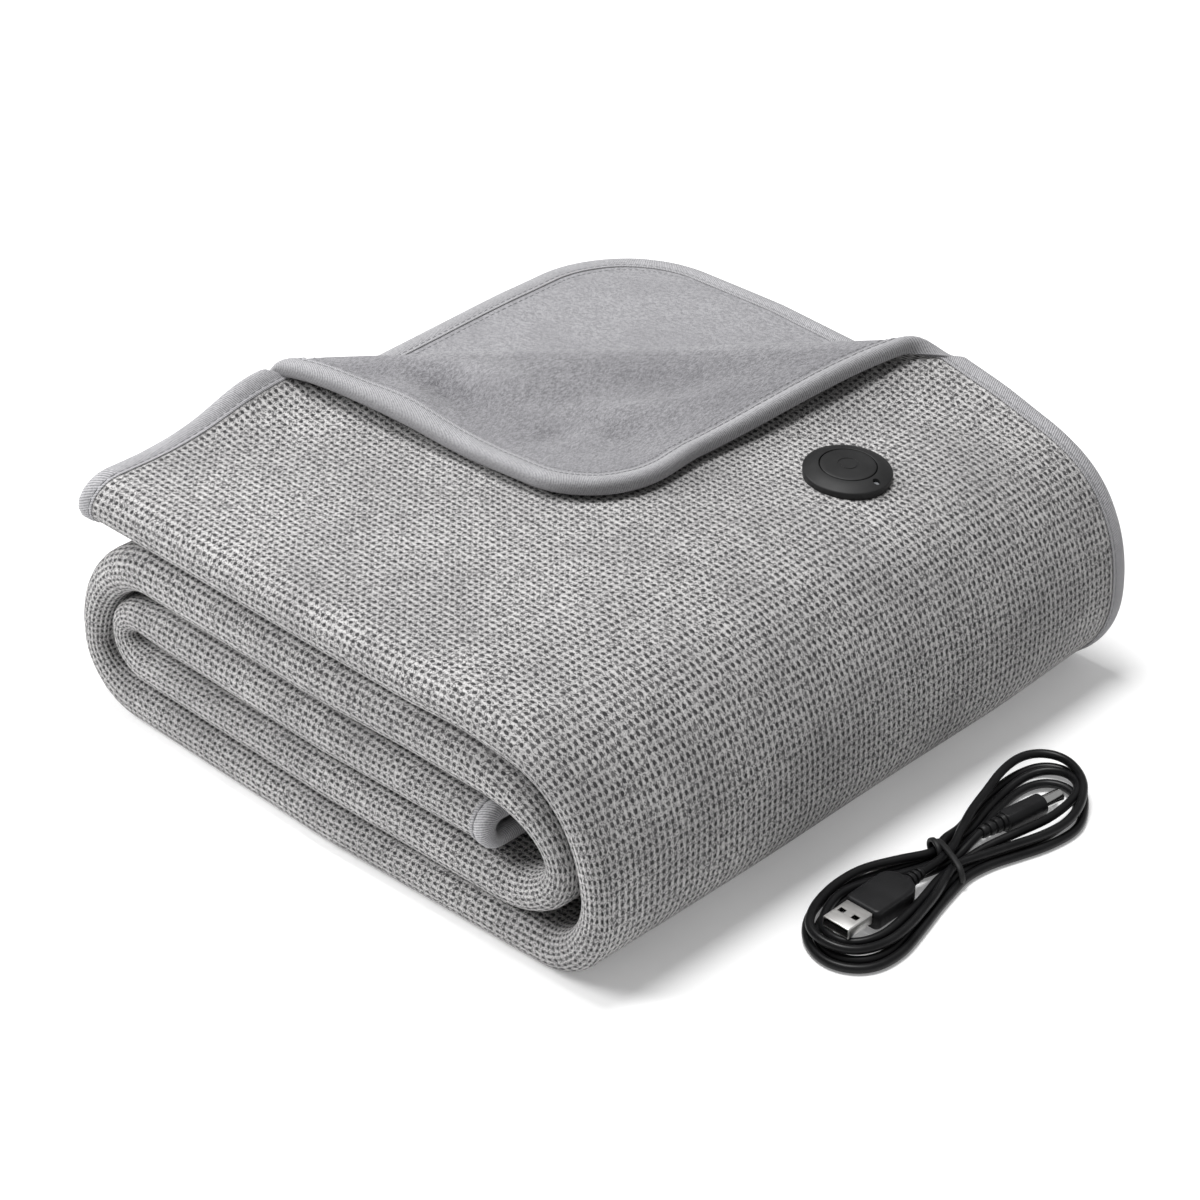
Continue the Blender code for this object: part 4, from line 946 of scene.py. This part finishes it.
def sheet_mesh(name, low, high):
    """A panel with its thickness, drawn flat, scored across the turned corner, and folded."""
    lines_u, lines_w = sheet_lines()
    arc = CORNER_RADIUS - SHEET_INSET
    from_end = np.minimum(lines_u, BLANKET_LENGTH - lines_u) - SHEET_INSET
    rounded = np.clip(arc - from_end, 0, arc)
    corner = arc - np.sqrt(arc * arc - rounded * rounded)
    flat_points = []
    for u, cut in zip(lines_u, corner):
        edge = np.minimum(lines_w, BLANKET_WIDTH - lines_w) - SHEET_INSET
        moved = cut * np.clip(1 - edge / CORNER_BAND, 0, 1)
        w = lines_w + np.where(lines_w < BLANKET_WIDTH / 2, moved, -moved)
        flat_points.append(np.stack([np.full_like(w, u), w], axis=1))
    bm = bmesh.new()
    layers = [[[bm.verts.new((u, w, h)) for u, w in row] for row in flat_points]
              for h in (high, low)]
    rows, columns = len(lines_u), len(lines_w)
    for upper_side, grid in zip((True, False), layers):
        for i in range(rows - 1):
            for j in range(columns - 1):
                quad = [grid[i][j], grid[i + 1][j], grid[i + 1][j + 1], grid[i][j + 1]]
                bm.faces.new(quad if upper_side else quad[::-1])
    top, bottom = layers
    rim = [(i, 0) for i in range(rows)] + [(rows - 1, j) for j in range(1, columns)]
    rim += [(i, columns - 1) for i in range(rows - 2, -1, -1)]
    rim += [(0, j) for j in range(columns - 2, 0, -1)]
    for (i, j), (m, n) in zip(rim, rim[1:] + rim[:1]):
        bm.faces.new((top[i][j], bottom[i][j], bottom[m][n], top[m][n]))
    score_turned_corner(bm)
    pattern = bm.verts.layers.float_vector.new("pattern")
    # The dents' height, which the fleece's painted shade in the hollows follows.
    hollow = bm.verts.layers.float.new("hollow")
    flat = np.array([vertex.co for vertex in bm.verts])
    for vertex, place, spot, dent in zip(bm.verts, flat, fold(flat), dents(*flat.T[:2])):
        u, w, h = place
        vertex[hollow] = dent / MM
        vertex[pattern] = (u, w + ARC_STRETCH * min(max(w - PLY, 0.0), FOLD_ARC), h)
        vertex.co = spot
    return mesh_from(bm, name)


def score_turned_corner(bm):
    """Adds edges along the crease's bend lines to the part of a flat panel that they cross."""
    x_at = [float(roll_value("x", u)) + UPPER_SHORT * (1 - ramp(u, 0.0, END_FADE))
            for u in (0.0, END_FADE)]
    per_u = (x_at[1] - x_at[0]) / END_FADE
    per_w = (OUTER_END["high_y"] * MM - FOLD_LINE_Y) / PLY
    faces = [face for face in bm.faces
             if face.calc_center_median().y > PLY + FOLD_ARC
             and face.calc_center_median().x < FIRST_CURL_U]
    geometry = list({item for face in faces for item in (*face.verts, *face.edges)}) + faces
    for beyond in TURN_ROWS[:-1, 0]:
        spot = CREASE_POINT + CREASE_OUT * beyond
        place = ((spot[0] - x_at[0]) / per_u,
                 PLY + FOLD_ARC + (spot[1] - FOLD_LINE_Y) / per_w, 0.0)
        cut = bmesh.ops.bisect_plane(bm, geom=geometry, dist=SCORE_SNAP, plane_co=place,
                                     plane_no=(CREASE_OUT[0] * per_u, CREASE_OUT[1] * per_w, 0.0))
        geometry = [item for item in cut["geom"] if item.is_valid]


def calculate(operation, *values):
    """One step of arithmetic on values, at least one of them another node's output."""
    tree = next(value for value in values if isinstance(value, bpy.types.NodeSocket)).id_data
    return add_node(tree, "ShaderNodeMath", {"operation": operation},
                    dict(enumerate(values))).outputs[0]


def blended(first, share, second):
    """Two values mixed, with the given share of the first."""
    return calculate("ADD", calculate("MULTIPLY", first, share),
                     calculate("MULTIPLY", second, 1 - share))


def pattern_place(surface):
    """The place on the flat blanket, in metres: its vector, and its u and w."""
    vector = add_node(surface.node_tree, "ShaderNodeAttribute", {"attribute_name": "pattern"},
                      {}).outputs["Vector"]
    parts = add_node(surface.node_tree, "ShaderNodeSeparateXYZ", {}, {0: vector})
    return vector, parts.outputs[0], parts.outputs[1]


KNIT_DARK = (0.135, 0.1325, 0.1335)
KNIT_LIGHT = (0.55, 0.54, 0.536)
KNIT_PATCH = (0.17, 0.166, 0.168)
# Near-black for the painted shade in the eyelets and between the ribs.
KNIT_PAINTED_SHADE = (0.02, 0.0195, 0.021)
KNIT_DRIFT = 0.24
KNIT_RELIEF = 0.45 * MM
FIBRE_SCALE = 1900.0
# An eyelet's soft edge in mm from its middle, how much it is squeezed across the ribs, and how
# ragged that edge is, in mm.
EYELET_EDGE = (0.7, 1.06)
EYELET_SQUEEZE = 1.18
EYELET_RAGGED = 0.17

heather_knit = finish("heather_knit", Roughness=0.93, Sheen_Weight=0.12, Sheen_Roughness=0.5,
                      Specular_IOR_Level=0.25)
knit_place, knit_u, knit_w = pattern_place(heather_knit)
# Rows and eyelets are counted with a little drift, so that they don't lie dead straight.
cells_u, cells_w = (
    calculate("MULTIPLY_ADD", place, 1 / pitch,
              calculate("MULTIPLY", noise(knit_place, scale), KNIT_DRIFT))
    for place, pitch, scale in ((knit_u, EYELET_PITCH, 130.0), (knit_w, RIB_PITCH, 95.0)))
off_u, off_w = (calculate("SUBTRACT", calculate("FRACT", cells), 0.5)
                for cells in (cells_u, cells_w))
reach_u = calculate("MULTIPLY", off_u, EYELET_PITCH / MM)
reach_w = calculate("MULTIPLY", off_w, EYELET_SQUEEZE * RIB_PITCH / MM)
ragged = calculate("MULTIPLY_ADD", noise(knit_place, 1100.0), 2 * EYELET_RAGGED, -EYELET_RAGGED)
from_eyelet = calculate("ADD", ragged, calculate("SQRT", calculate(
    "ADD", calculate("MULTIPLY", reach_u, reach_u), calculate("MULTIPLY", reach_w, reach_w))))
# Each eyelet is a little deeper or shallower than the next, and its painted shade darker or lighter
# with it.
cell_name = add_node(heather_knit.node_tree, "ShaderNodeCombineXYZ", {}, {
    0: calculate("FLOOR", cells_u), 1: calculate("FLOOR", cells_w)}).outputs[0]
cell_chance = add_node(heather_knit.node_tree, "ShaderNodeTexWhiteNoise", {
    "noise_dimensions": "2D"}, {"Vector": cell_name}).outputs["Value"]
eyelet = calculate("MULTIPLY", between(from_eyelet, EYELET_EDGE, (1.0, 0.0), smooth=True),
                   between(cell_chance, (0.0, 0.5), (0.8, 1.0)))
rib_height = between(calculate("ABSOLUTE", off_w), (0.1, 0.5), smooth=True)
# The heather: dark and light fibres spun together, with slow darker patches over them.
fleck = add_node(heather_knit.node_tree, "ShaderNodeTexVoronoi", {},
                 {"Vector": knit_place, "Scale": FIBRE_SCALE}).outputs["Color"]
fleck_shade = add_node(heather_knit.node_tree, "ShaderNodeSeparateColor", {}, {0: fleck}).outputs[0]
heather = blended(noise(knit_place, FIBRE_SCALE, 3.0, 0.7), 0.5, fleck_shade)
yarn = tint(between(heather, (0.32, 0.58)), KNIT_DARK, KNIT_LIGHT)
cloud = noise(knit_place, 22.0, 3.0)
patched = tint(between(cloud, (0.4, 0.68), (0.0, 0.34)), yarn, KNIT_PATCH)
# Painted shade: the valleys between the ribs are darkened, and the eyelets are painted nearly
# black.
painted_valley_shade = between(rib_height, (0.0, 1.0), (0.28, 0.0))
painted_recess_shade = calculate("MAXIMUM", painted_valley_shade, calculate("MULTIPLY", eyelet, 0.93))
dress(heather_knit, Base_Color=tint(painted_recess_shade, patched, KNIT_PAINTED_SHADE))
raised = calculate("MULTIPLY", calculate("ADD", rib_height, heather), 0.3)
raise_surface(calculate("SUBTRACT", raised, calculate("MULTIPLY", eyelet, 0.8)), KNIT_RELIEF)

knit_face = new_piece("knit_panel",
                      sheet_mesh("knit_panel", PLY_HALF - KNIT_THICK, PLY_HALF), heather_knit)
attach(knit_face, "root")
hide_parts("knit_face")


# ---------------------------------------------------------------- fleece lining
# Short-pile grey fleece, the blanket's inside, cut to the same shape as the knit. The pile is
# brushed one way and clumps into fine tufts, with darker patches where it has been stroked.
FLEECE_DARK = (0.185, 0.183, 0.193)
FLEECE_LIGHT = (0.33, 0.326, 0.341)
FLEECE_STROKED = (0.2, 0.197, 0.209)
# Darker, shaded copies of the fleece's colours, used for its painted shade.
SHADED_FLEECE_DARK = (0.094, 0.0925, 0.1)
SHADED_FLEECE_LIGHT = (0.24, 0.237, 0.25)
BRUSHED_ANGLE = math.radians(28)
BRUSHED_SHORT = 1.5
FLEECE_RELIEF = 0.75 * MM

grey_fleece = finish("grey_fleece", Roughness=1.0, Sheen_Weight=0.35, Sheen_Roughness=0.45,
                     Specular_IOR_Level=0.1)
fleece_place, fleece_u, fleece_w = pattern_place(grey_fleece)
brushed = add_node(grey_fleece.node_tree, "ShaderNodeMapping", {}, {
    "Vector": fleece_place, "Rotation": (0.0, 0.0, BRUSHED_ANGLE),
    "Scale": (1.0, BRUSHED_SHORT, 1.0)}).outputs[0]
tufts = noise(brushed, 640.0, 3.0, 0.62)
hairs = noise(brushed, 1900.0, 2.0, 0.6)
pile = blended(tufts, 0.6, hairs)
nap = between(pile, (0.4, 0.6))
stroked = between(noise(fleece_place, 26.0), (0.42, 0.62), (0.0, 0.35), smooth=True)
fleece_own_colour = tint(stroked, tint(nap, FLEECE_DARK, FLEECE_LIGHT), FLEECE_STROKED)
# How far beyond the crease a place on the turned corner is, from its place on the flat blanket.
flat_zero = np.array((OUTER_END["x"] * MM + UPPER_SHORT, FOLD_LINE_Y)) - CREASE_POINT
crease_from = float(flat_zero @ CREASE_OUT)
crease_from -= (PLY + FOLD_ARC * (1 + ARC_STRETCH)) * float(CREASE_OUT[1])
beyond_crease = calculate(
    "ADD", calculate("MULTIPLY_ADD", fleece_u, float(CREASE_OUT[0]), crease_from),
    calculate("MULTIPLY", fleece_w, float(CREASE_OUT[1])))
# On the turned corner, shade is painted into the fleece's colour, darkest by the crease.
painted_flap_shade = calculate(
    "MULTIPLY", between(beyond_crease, (TURN_END - 2 * MM, TURN_END + 4 * MM), (0.0, 0.5)),
    between(beyond_crease, (TURN_END + 10 * MM, TURN_END + 95 * MM), (1.0, 0.45)))
# Painted shade also darkens the turned corner's hollows, and is taken off its swells.
hollow = add_node(grey_fleece.node_tree, "ShaderNodeAttribute", {"attribute_name": "hollow"},
                  {}).outputs["Fac"]
painted_hollow_shade = calculate("MULTIPLY", between(beyond_crease, (TURN_END, TURN_END + 8 * MM)),
                    between(hollow, (-2.5, 2.8), (-0.5, 0.62)))
dress(grey_fleece, Base_Color=tint(calculate("ADD", painted_flap_shade, painted_hollow_shade), fleece_own_colour,
                                   tint(nap, SHADED_FLEECE_DARK, SHADED_FLEECE_LIGHT)))
raise_surface(pile, FLEECE_RELIEF)

fleece_mesh = sheet_mesh("fleece_panel", -PLY_HALF, -PLY_HALF + FLEECE_THICK)
fleece_lining = new_piece("fleece_panel", fleece_mesh, grey_fleece)
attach(fleece_lining, "root")
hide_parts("fleece_lining")


# ---------------------------------------------------------------- edge binding
# One woven grey tape folded over the raw edges of both panels, all the way round. It bulges
# like a soft cord over the edge, dips at its row of stitches, and ends in a narrow lip.
TAPE_STEP = 2.8 * MM
TAPE_FINE_STEP = 0.9 * MM
FINE_ENDS_W = (330 * MM, 500 * MM)
FINE_SIDE_U = (105 * MM, 235 * MM)
# Half of the tape's outer section: distance in from the blanket's edge and height off the middle
# of the cloth, in mm, from the middle of the edge to the end of the lip.
TAPE_SECTION = (
    (0.0, 0.0), (0.03, 0.9), (0.3, 1.9), (0.95, 2.8), (1.9, 3.4), (3.2, 3.7), (4.6, 3.66),
    (5.8, 3.4), (6.6, 3.02), (7.0, 2.86), (7.5, 3.05), (8.1, 3.14), (8.5, 3.0), (8.6, 2.68))
# Its inner face lies this far off the panels, between these distances in from the edge.
TAPE_OFF_CLOTH = 0.15 * MM
TAPE_INSIDE = (1.3 * MM, 8.5 * MM)
TURN_STEPS = 30


def edge_line(inset):
    """Points round the blanket's flat edge, drawn in by inset, with how far round each one is."""
    radius = CORNER_RADIUS - inset
    points, gone = [], []
    # A corner's place, the angle that its turn starts at, and the length of the side after it.
    corners = ((BLANKET_LENGTH, BLANKET_WIDTH, 0, BLANKET_LENGTH),
               (0.0, BLANKET_WIDTH, 90, BLANKET_WIDTH),
               (0.0, 0.0, 180, BLANKET_LENGTH),
               (BLANKET_LENGTH, 0.0, 270, BLANKET_WIDTH))
    at = 0.0
    for corner_u, corner_w, first, span in corners:
        centre = np.array((corner_u + (CORNER_RADIUS if corner_u == 0.0 else -CORNER_RADIUS),
                           corner_w + (CORNER_RADIUS if corner_w == 0.0 else -CORNER_RADIUS)))
        for k in range(TURN_STEPS + 1):
            turn = math.radians(90) * k / TURN_STEPS
            angle = math.radians(first) + turn
            points.append(centre + radius * np.array((math.cos(angle), math.sin(angle))))
            gone.append(at + CORNER_RADIUS * turn)
        at = gone[-1]
        start, straight = points[-1], span - 2 * CORNER_RADIUS
        forward = np.array((-math.sin(angle), math.cos(angle)))
        reach = 0.0
        while reach < straight - WELD:
            spot = start + forward * reach
            fine = (FINE_ENDS_W[0] < spot[1] < FINE_ENDS_W[1] and spot[0] < CORNER_RADIUS) or (
                FINE_SIDE_U[0] < spot[0] < FINE_SIDE_U[1] and spot[1] > BLANKET_WIDTH / 2)
            reach = min(reach + (TAPE_FINE_STEP if fine else TAPE_STEP), straight)
            if reach < straight - WELD:
                points.append(start + forward * reach)
                gone.append(at + reach)
        at += straight
    return np.array(points), np.array(gone)


outer_half = [(inset * MM, height * MM) for inset, height in TAPE_SECTION]
inner_half = [(inset, PLY_HALF + TAPE_OFF_CLOTH) for inset in TAPE_INSIDE]
tape_section = [(inset, -height) for inset, height in (*inner_half, *reversed(outer_half[1:]))]
tape_section += [*outer_half, *reversed(inner_half)]

tape_bm = bmesh.new()
tape_pattern = tape_bm.verts.layers.float_vector.new("pattern")
girth = 0.0
tape_loops = []
for k, (inset, height) in enumerate(tape_section):
    if k:
        girth += math.hypot(inset - tape_section[k - 1][0], height - tape_section[k - 1][1])
    flat_line, gone = edge_line(inset)
    flat = np.concatenate((flat_line, np.full((len(flat_line), 1), height)), axis=1)
    loop = []
    for spot, s in zip(fold(flat), gone):
        vertex = tape_bm.verts.new(spot)
        vertex[tape_pattern] = (s, girth, height)
        loop.append(vertex)
    tape_loops.append(loop)
loft(tape_bm, [*tape_loops, tape_loops[0]])

TAPE_RIB = 0.85 * MM
TAPE_SLANT = 0.35
TAPE_DARK = (0.16, 0.159, 0.167)
TAPE_LIGHT = (0.45, 0.446, 0.461)
TAPE_PATCH = (0.24, 0.238, 0.246)
TAPE_RELIEF = 0.3 * MM

woven_tape = finish("woven_tape", Roughness=0.85, Sheen_Weight=0.15, Specular_IOR_Level=0.3)
tape_place, tape_s, tape_t = pattern_place(woven_tape)
slanted = calculate("MULTIPLY_ADD", tape_t, TAPE_SLANT / TAPE_RIB,
                    calculate("MULTIPLY", tape_s, 1 / TAPE_RIB))
tape_ribs = calculate("MULTIPLY_ADD", calculate(
    "SINE", calculate("MULTIPLY", slanted, 2 * math.pi)), 0.5, 0.5)
twill = blended(tape_ribs, 0.4, noise(tape_place, 1300.0))
patchy = between(noise(tape_place, 60.0), (0.35, 0.65), (0.0, 0.25))
dress(woven_tape, Base_Color=tint(
    patchy, tint(between(twill, (0.25, 0.72)), TAPE_DARK, TAPE_LIGHT), TAPE_PATCH))
raise_surface(twill, TAPE_RELIEF)
edge_binding = new_piece("binding_tape", mesh_from(tape_bm, "binding_tape"), woven_tape)
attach(edge_binding, "root")
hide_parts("edge_binding")


# ---------------------------------------------------------------- stitching
# Grey polyester thread, lock-stitched in the tape's dip on both faces, and in a second row on
# the fleece just inside the tape.
STITCH_LENGTH = 2.6 * MM
STITCH_PITCH = 3.3 * MM
THREAD_RADIUS = 0.28 * MM
STITCH_ROWS = (
    # distance in from the edge, height off the middle of the cloth, in mm
    (7.05, 2.95),
    (7.05, -2.95),
    (10.9, -2.42),
)
THREAD_SIDES = 5
# Along one stitch: share of its length, share of the thread's radius, and how far it rises off
# its row, as a share of that radius.
THREAD_RINGS = ((0.0, 0.35, -0.4), (0.18, 0.9, 0.0), (0.5, 1.0, 0.192), (0.82, 0.9, 0.0),
                (1.0, 0.35, -0.4))
THREAD_AHEAD = 0.5 * MM
THREAD_DARK = (0.15, 0.15, 0.155)
THREAD_LIGHT = (0.25, 0.25, 0.26)

thread_bm = bmesh.new()
for inset, height in STITCH_ROWS:
    flat_line, gone = edge_line(inset * MM)
    closed = np.concatenate((flat_line, flat_line[:1]))
    gone = np.append(gone, gone[-1] + TAPE_STEP)
    starts = np.arange(0.0, gone[-1] - STITCH_PITCH, STITCH_PITCH)
    side = math.copysign(1.0, height)
    ring_points = []
    for share, width, rise in THREAD_RINGS:
        at = starts + share * STITCH_LENGTH
        (u, w), (ahead_u, ahead_w) = (
            [np.interp(place, gone, closed[:, k]) for k in range(2)]
            for place in (at, at + THREAD_AHEAD))
        across = np.stack([w - ahead_w, ahead_u - u], axis=1)
        across /= np.maximum(np.linalg.norm(across, axis=1), 1e-9)[:, None]
        for k in range(THREAD_SIDES):
            angle = 2 * math.pi * k / THREAD_SIDES
            out = THREAD_RADIUS * width * math.cos(angle)
            up = THREAD_RADIUS * (width * math.sin(angle) + rise)
            ring_points.append(fold(np.stack([u + across[:, 0] * out, w + across[:, 1] * out,
                                              np.full_like(u, height * MM + side * up)], axis=1)))
    for stitch in np.array(ring_points).swapaxes(0, 1):
        rings = [[thread_bm.verts.new(spot) for spot in ring]
                 for ring in stitch.reshape(len(THREAD_RINGS), THREAD_SIDES, 3)]
        loft(thread_bm, rings)
        thread_bm.faces.new(rings[0][::-1])
        thread_bm.faces.new(rings[-1])

grey_thread = finish("grey_thread", Roughness=0.6)
thread_twist = noise(object_place(grey_thread), 1500.0)
dress(grey_thread, Base_Color=tint(thread_twist, THREAD_DARK, THREAD_LIGHT))
stitching = new_piece("edge_stitching", mesh_from(thread_bm, "edge_stitching"), grey_thread)
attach(stitching, "root")


# ---------------------------------------------------------------- push-button control
# A round matt black moulding fixed through the knit on the top, like a low stone: a sloping
# rim over a straight side wall, a button let into it with a fine gap, and a sunk light.
HOUSING_RADIUS = 17.4 * MM
BUTTON_RADIUS = 10.95 * MM
WELL_RADIUS = BUTTON_RADIUS + 0.35 * MM
WELL_FLOOR = 1.4 * MM
# The sloping rim from the well to the side wall: radius and height in mm.
RIM = ((13.2, 5.2), (15.0, 4.62), (16.3, 3.98))
WELL_EDGE = {"height": 5.25 * MM, "radius": 0.3 * MM}
SIDE_EDGE = {"height": 3.05 * MM, "radius": 0.7 * MM}
FOOT_EDGE = {"height": 0.6 * MM, "radius": 0.6 * MM}
FOOT_INSET = 0.2 * MM
# The button's crown with the ring pressed into it, and its rounded edge, in mm.
CROWN = ((0.0, 5.95), (2.6, 5.94), (3.2, 5.93), (3.3, 5.72), (4.1, 5.71), (4.2, 5.91),
         (7.0, 5.84), (9.4, 5.74))
BUTTON_EDGE = {"height": 5.16 * MM, "radius": 0.5 * MM}
BUTTON_FOOT = 2.5 * MM
LIGHT_OFFSET = 14.2 * MM
LIGHT_RADIUS = 1.3 * MM
# The hole that the light sits in: how much wider it is at its foot and at its mouth.
LIGHT_HOLE = (0.15 * MM, 0.3 * MM)
LIGHT_HOLE_DEPTH = 4.0 * MM
LIGHT_HOLE_MIDDLE = 5.0 * MM
LENS_FOOT = 3.3 * MM
LENS_DOME = {"height": 3.6 * MM, "rise": 0.6 * MM}
LENS_DARK = (0.1, 0.104, 0.11)
LENS_LIGHT = (0.24, 0.247, 0.26)
ROUND_STEPS = 120

press_axis = Vector(frame["joints"][0]["axis"]).normalized()
seat_up = -press_axis
seat_x = Vector((seat_up.z, 0.0, -seat_up.x)).normalized()
seat_y = seat_up.cross(seat_x)
housing_points = [vertex.co for vertex in frame["nodes"]["control_housing"].data.vertices]


def span_along(direction):
    reach = [point.dot(direction) for point in housing_points]
    return min(reach), max(reach)


seat = seat_up * span_along(seat_up)[0]
for direction in (seat_x, seat_y):
    low, high = span_along(direction)
    seat += direction * (low + high) / 2
seat_turn = Matrix((seat_x, seat_y, seat_up)).transposed().to_4x4()
control_place = Matrix.Translation(seat) @ seat_turn


def rounded_corner(out, height, radius, first, last):
    """Points on a rounded edge that ends at the radius out, between two angles in degrees."""
    return [(out - radius + radius * math.cos(angle), height + radius * math.sin(angle))
            for angle in np.radians(np.linspace(first, last, 5))]


housing_outline = [(0.0, WELL_FLOOR), (WELL_RADIUS, WELL_FLOOR), (WELL_RADIUS, WELL_EDGE["height"])]
housing_outline += rounded_corner(WELL_RADIUS + 2 * WELL_EDGE["radius"], **WELL_EDGE,
                                  first=180, last=78)
housing_outline += [(radius * MM, height * MM) for radius, height in RIM]
housing_outline += rounded_corner(HOUSING_RADIUS, **SIDE_EDGE, first=62, last=0)
housing_outline += [(HOUSING_RADIUS - 0.15 * MM, 1.0 * MM)]
housing_outline += rounded_corner(HOUSING_RADIUS - FOOT_INSET, **FOOT_EDGE, first=0, last=-90)
housing_outline += [(0.0, 0.0)]
control_housing = new_piece(
    "control_body", turned_mesh("control_body", housing_outline, ROUND_STEPS),
    moulded_black("matt_black", colour=(0.0095, 0.0095, 0.0098), roughness=0.52, grain=3200.0,
                  relief=0.035 * MM))
light_hole = bmesh.new()
bmesh.ops.create_cone(light_hole, cap_ends=True, segments=40, radius1=LIGHT_RADIUS + LIGHT_HOLE[0],
                      radius2=LIGHT_RADIUS + LIGHT_HOLE[1], depth=LIGHT_HOLE_DEPTH,
                      matrix=Matrix.Translation((LIGHT_OFFSET, 0.0, LIGHT_HOLE_MIDDLE)))
carve(control_housing, light_hole)
shade(control_housing, sharp=38)
control_housing.matrix_world = control_place

button_outline = [(radius * MM, height * MM) for radius, height in CROWN]
button_outline += rounded_corner(BUTTON_RADIUS, **BUTTON_EDGE, first=80, last=0)
button_outline += [(BUTTON_RADIUS, BUTTON_FOOT), (0.0, BUTTON_FOOT)]
control_button = new_piece(
    "push_button", turned_mesh("push_button", button_outline, ROUND_STEPS),
    moulded_black("button_black", colour=(0.0095, 0.0095, 0.0098), roughness=0.52, grain=3600.0,
                  relief=0.025 * MM))
control_button.matrix_world = control_place

lens_outline = [(0.0, LENS_DOME["height"] + LENS_DOME["rise"])]
lens_outline += [(LIGHT_RADIUS * math.sin(turn),
                  LENS_DOME["height"] + LENS_DOME["rise"] * math.cos(turn))
                 for turn in np.linspace(0.25, math.pi / 2, 7)]
lens_outline += [(LIGHT_RADIUS, LENS_FOOT), (0.0, LENS_FOOT)]
lens_mesh = turned_mesh("light_lens", lens_outline, 32)
lens_mesh.transform(Matrix.Translation((LIGHT_OFFSET, 0.0, 0.0)))
clear_lens = finish("clear_lens", Roughness=0.12, Coat_Weight=0.6)
lens_cloud = noise(object_place(clear_lens), 900.0, detail=1.0)
dress(clear_lens, Base_Color=tint(lens_cloud, LENS_DARK, LENS_LIGHT))
status_light = new_piece("light_lens", lens_mesh, clear_lens)
status_light.matrix_world = control_place
for piece, body, slot, node in ((control_housing, "root", "black_housing", "control_housing"),
                                (status_light, "root", "clear_light", "status_light"),
                                (control_button, "button", "black_button", "control_button")):
    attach(piece, body)
    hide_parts(node)
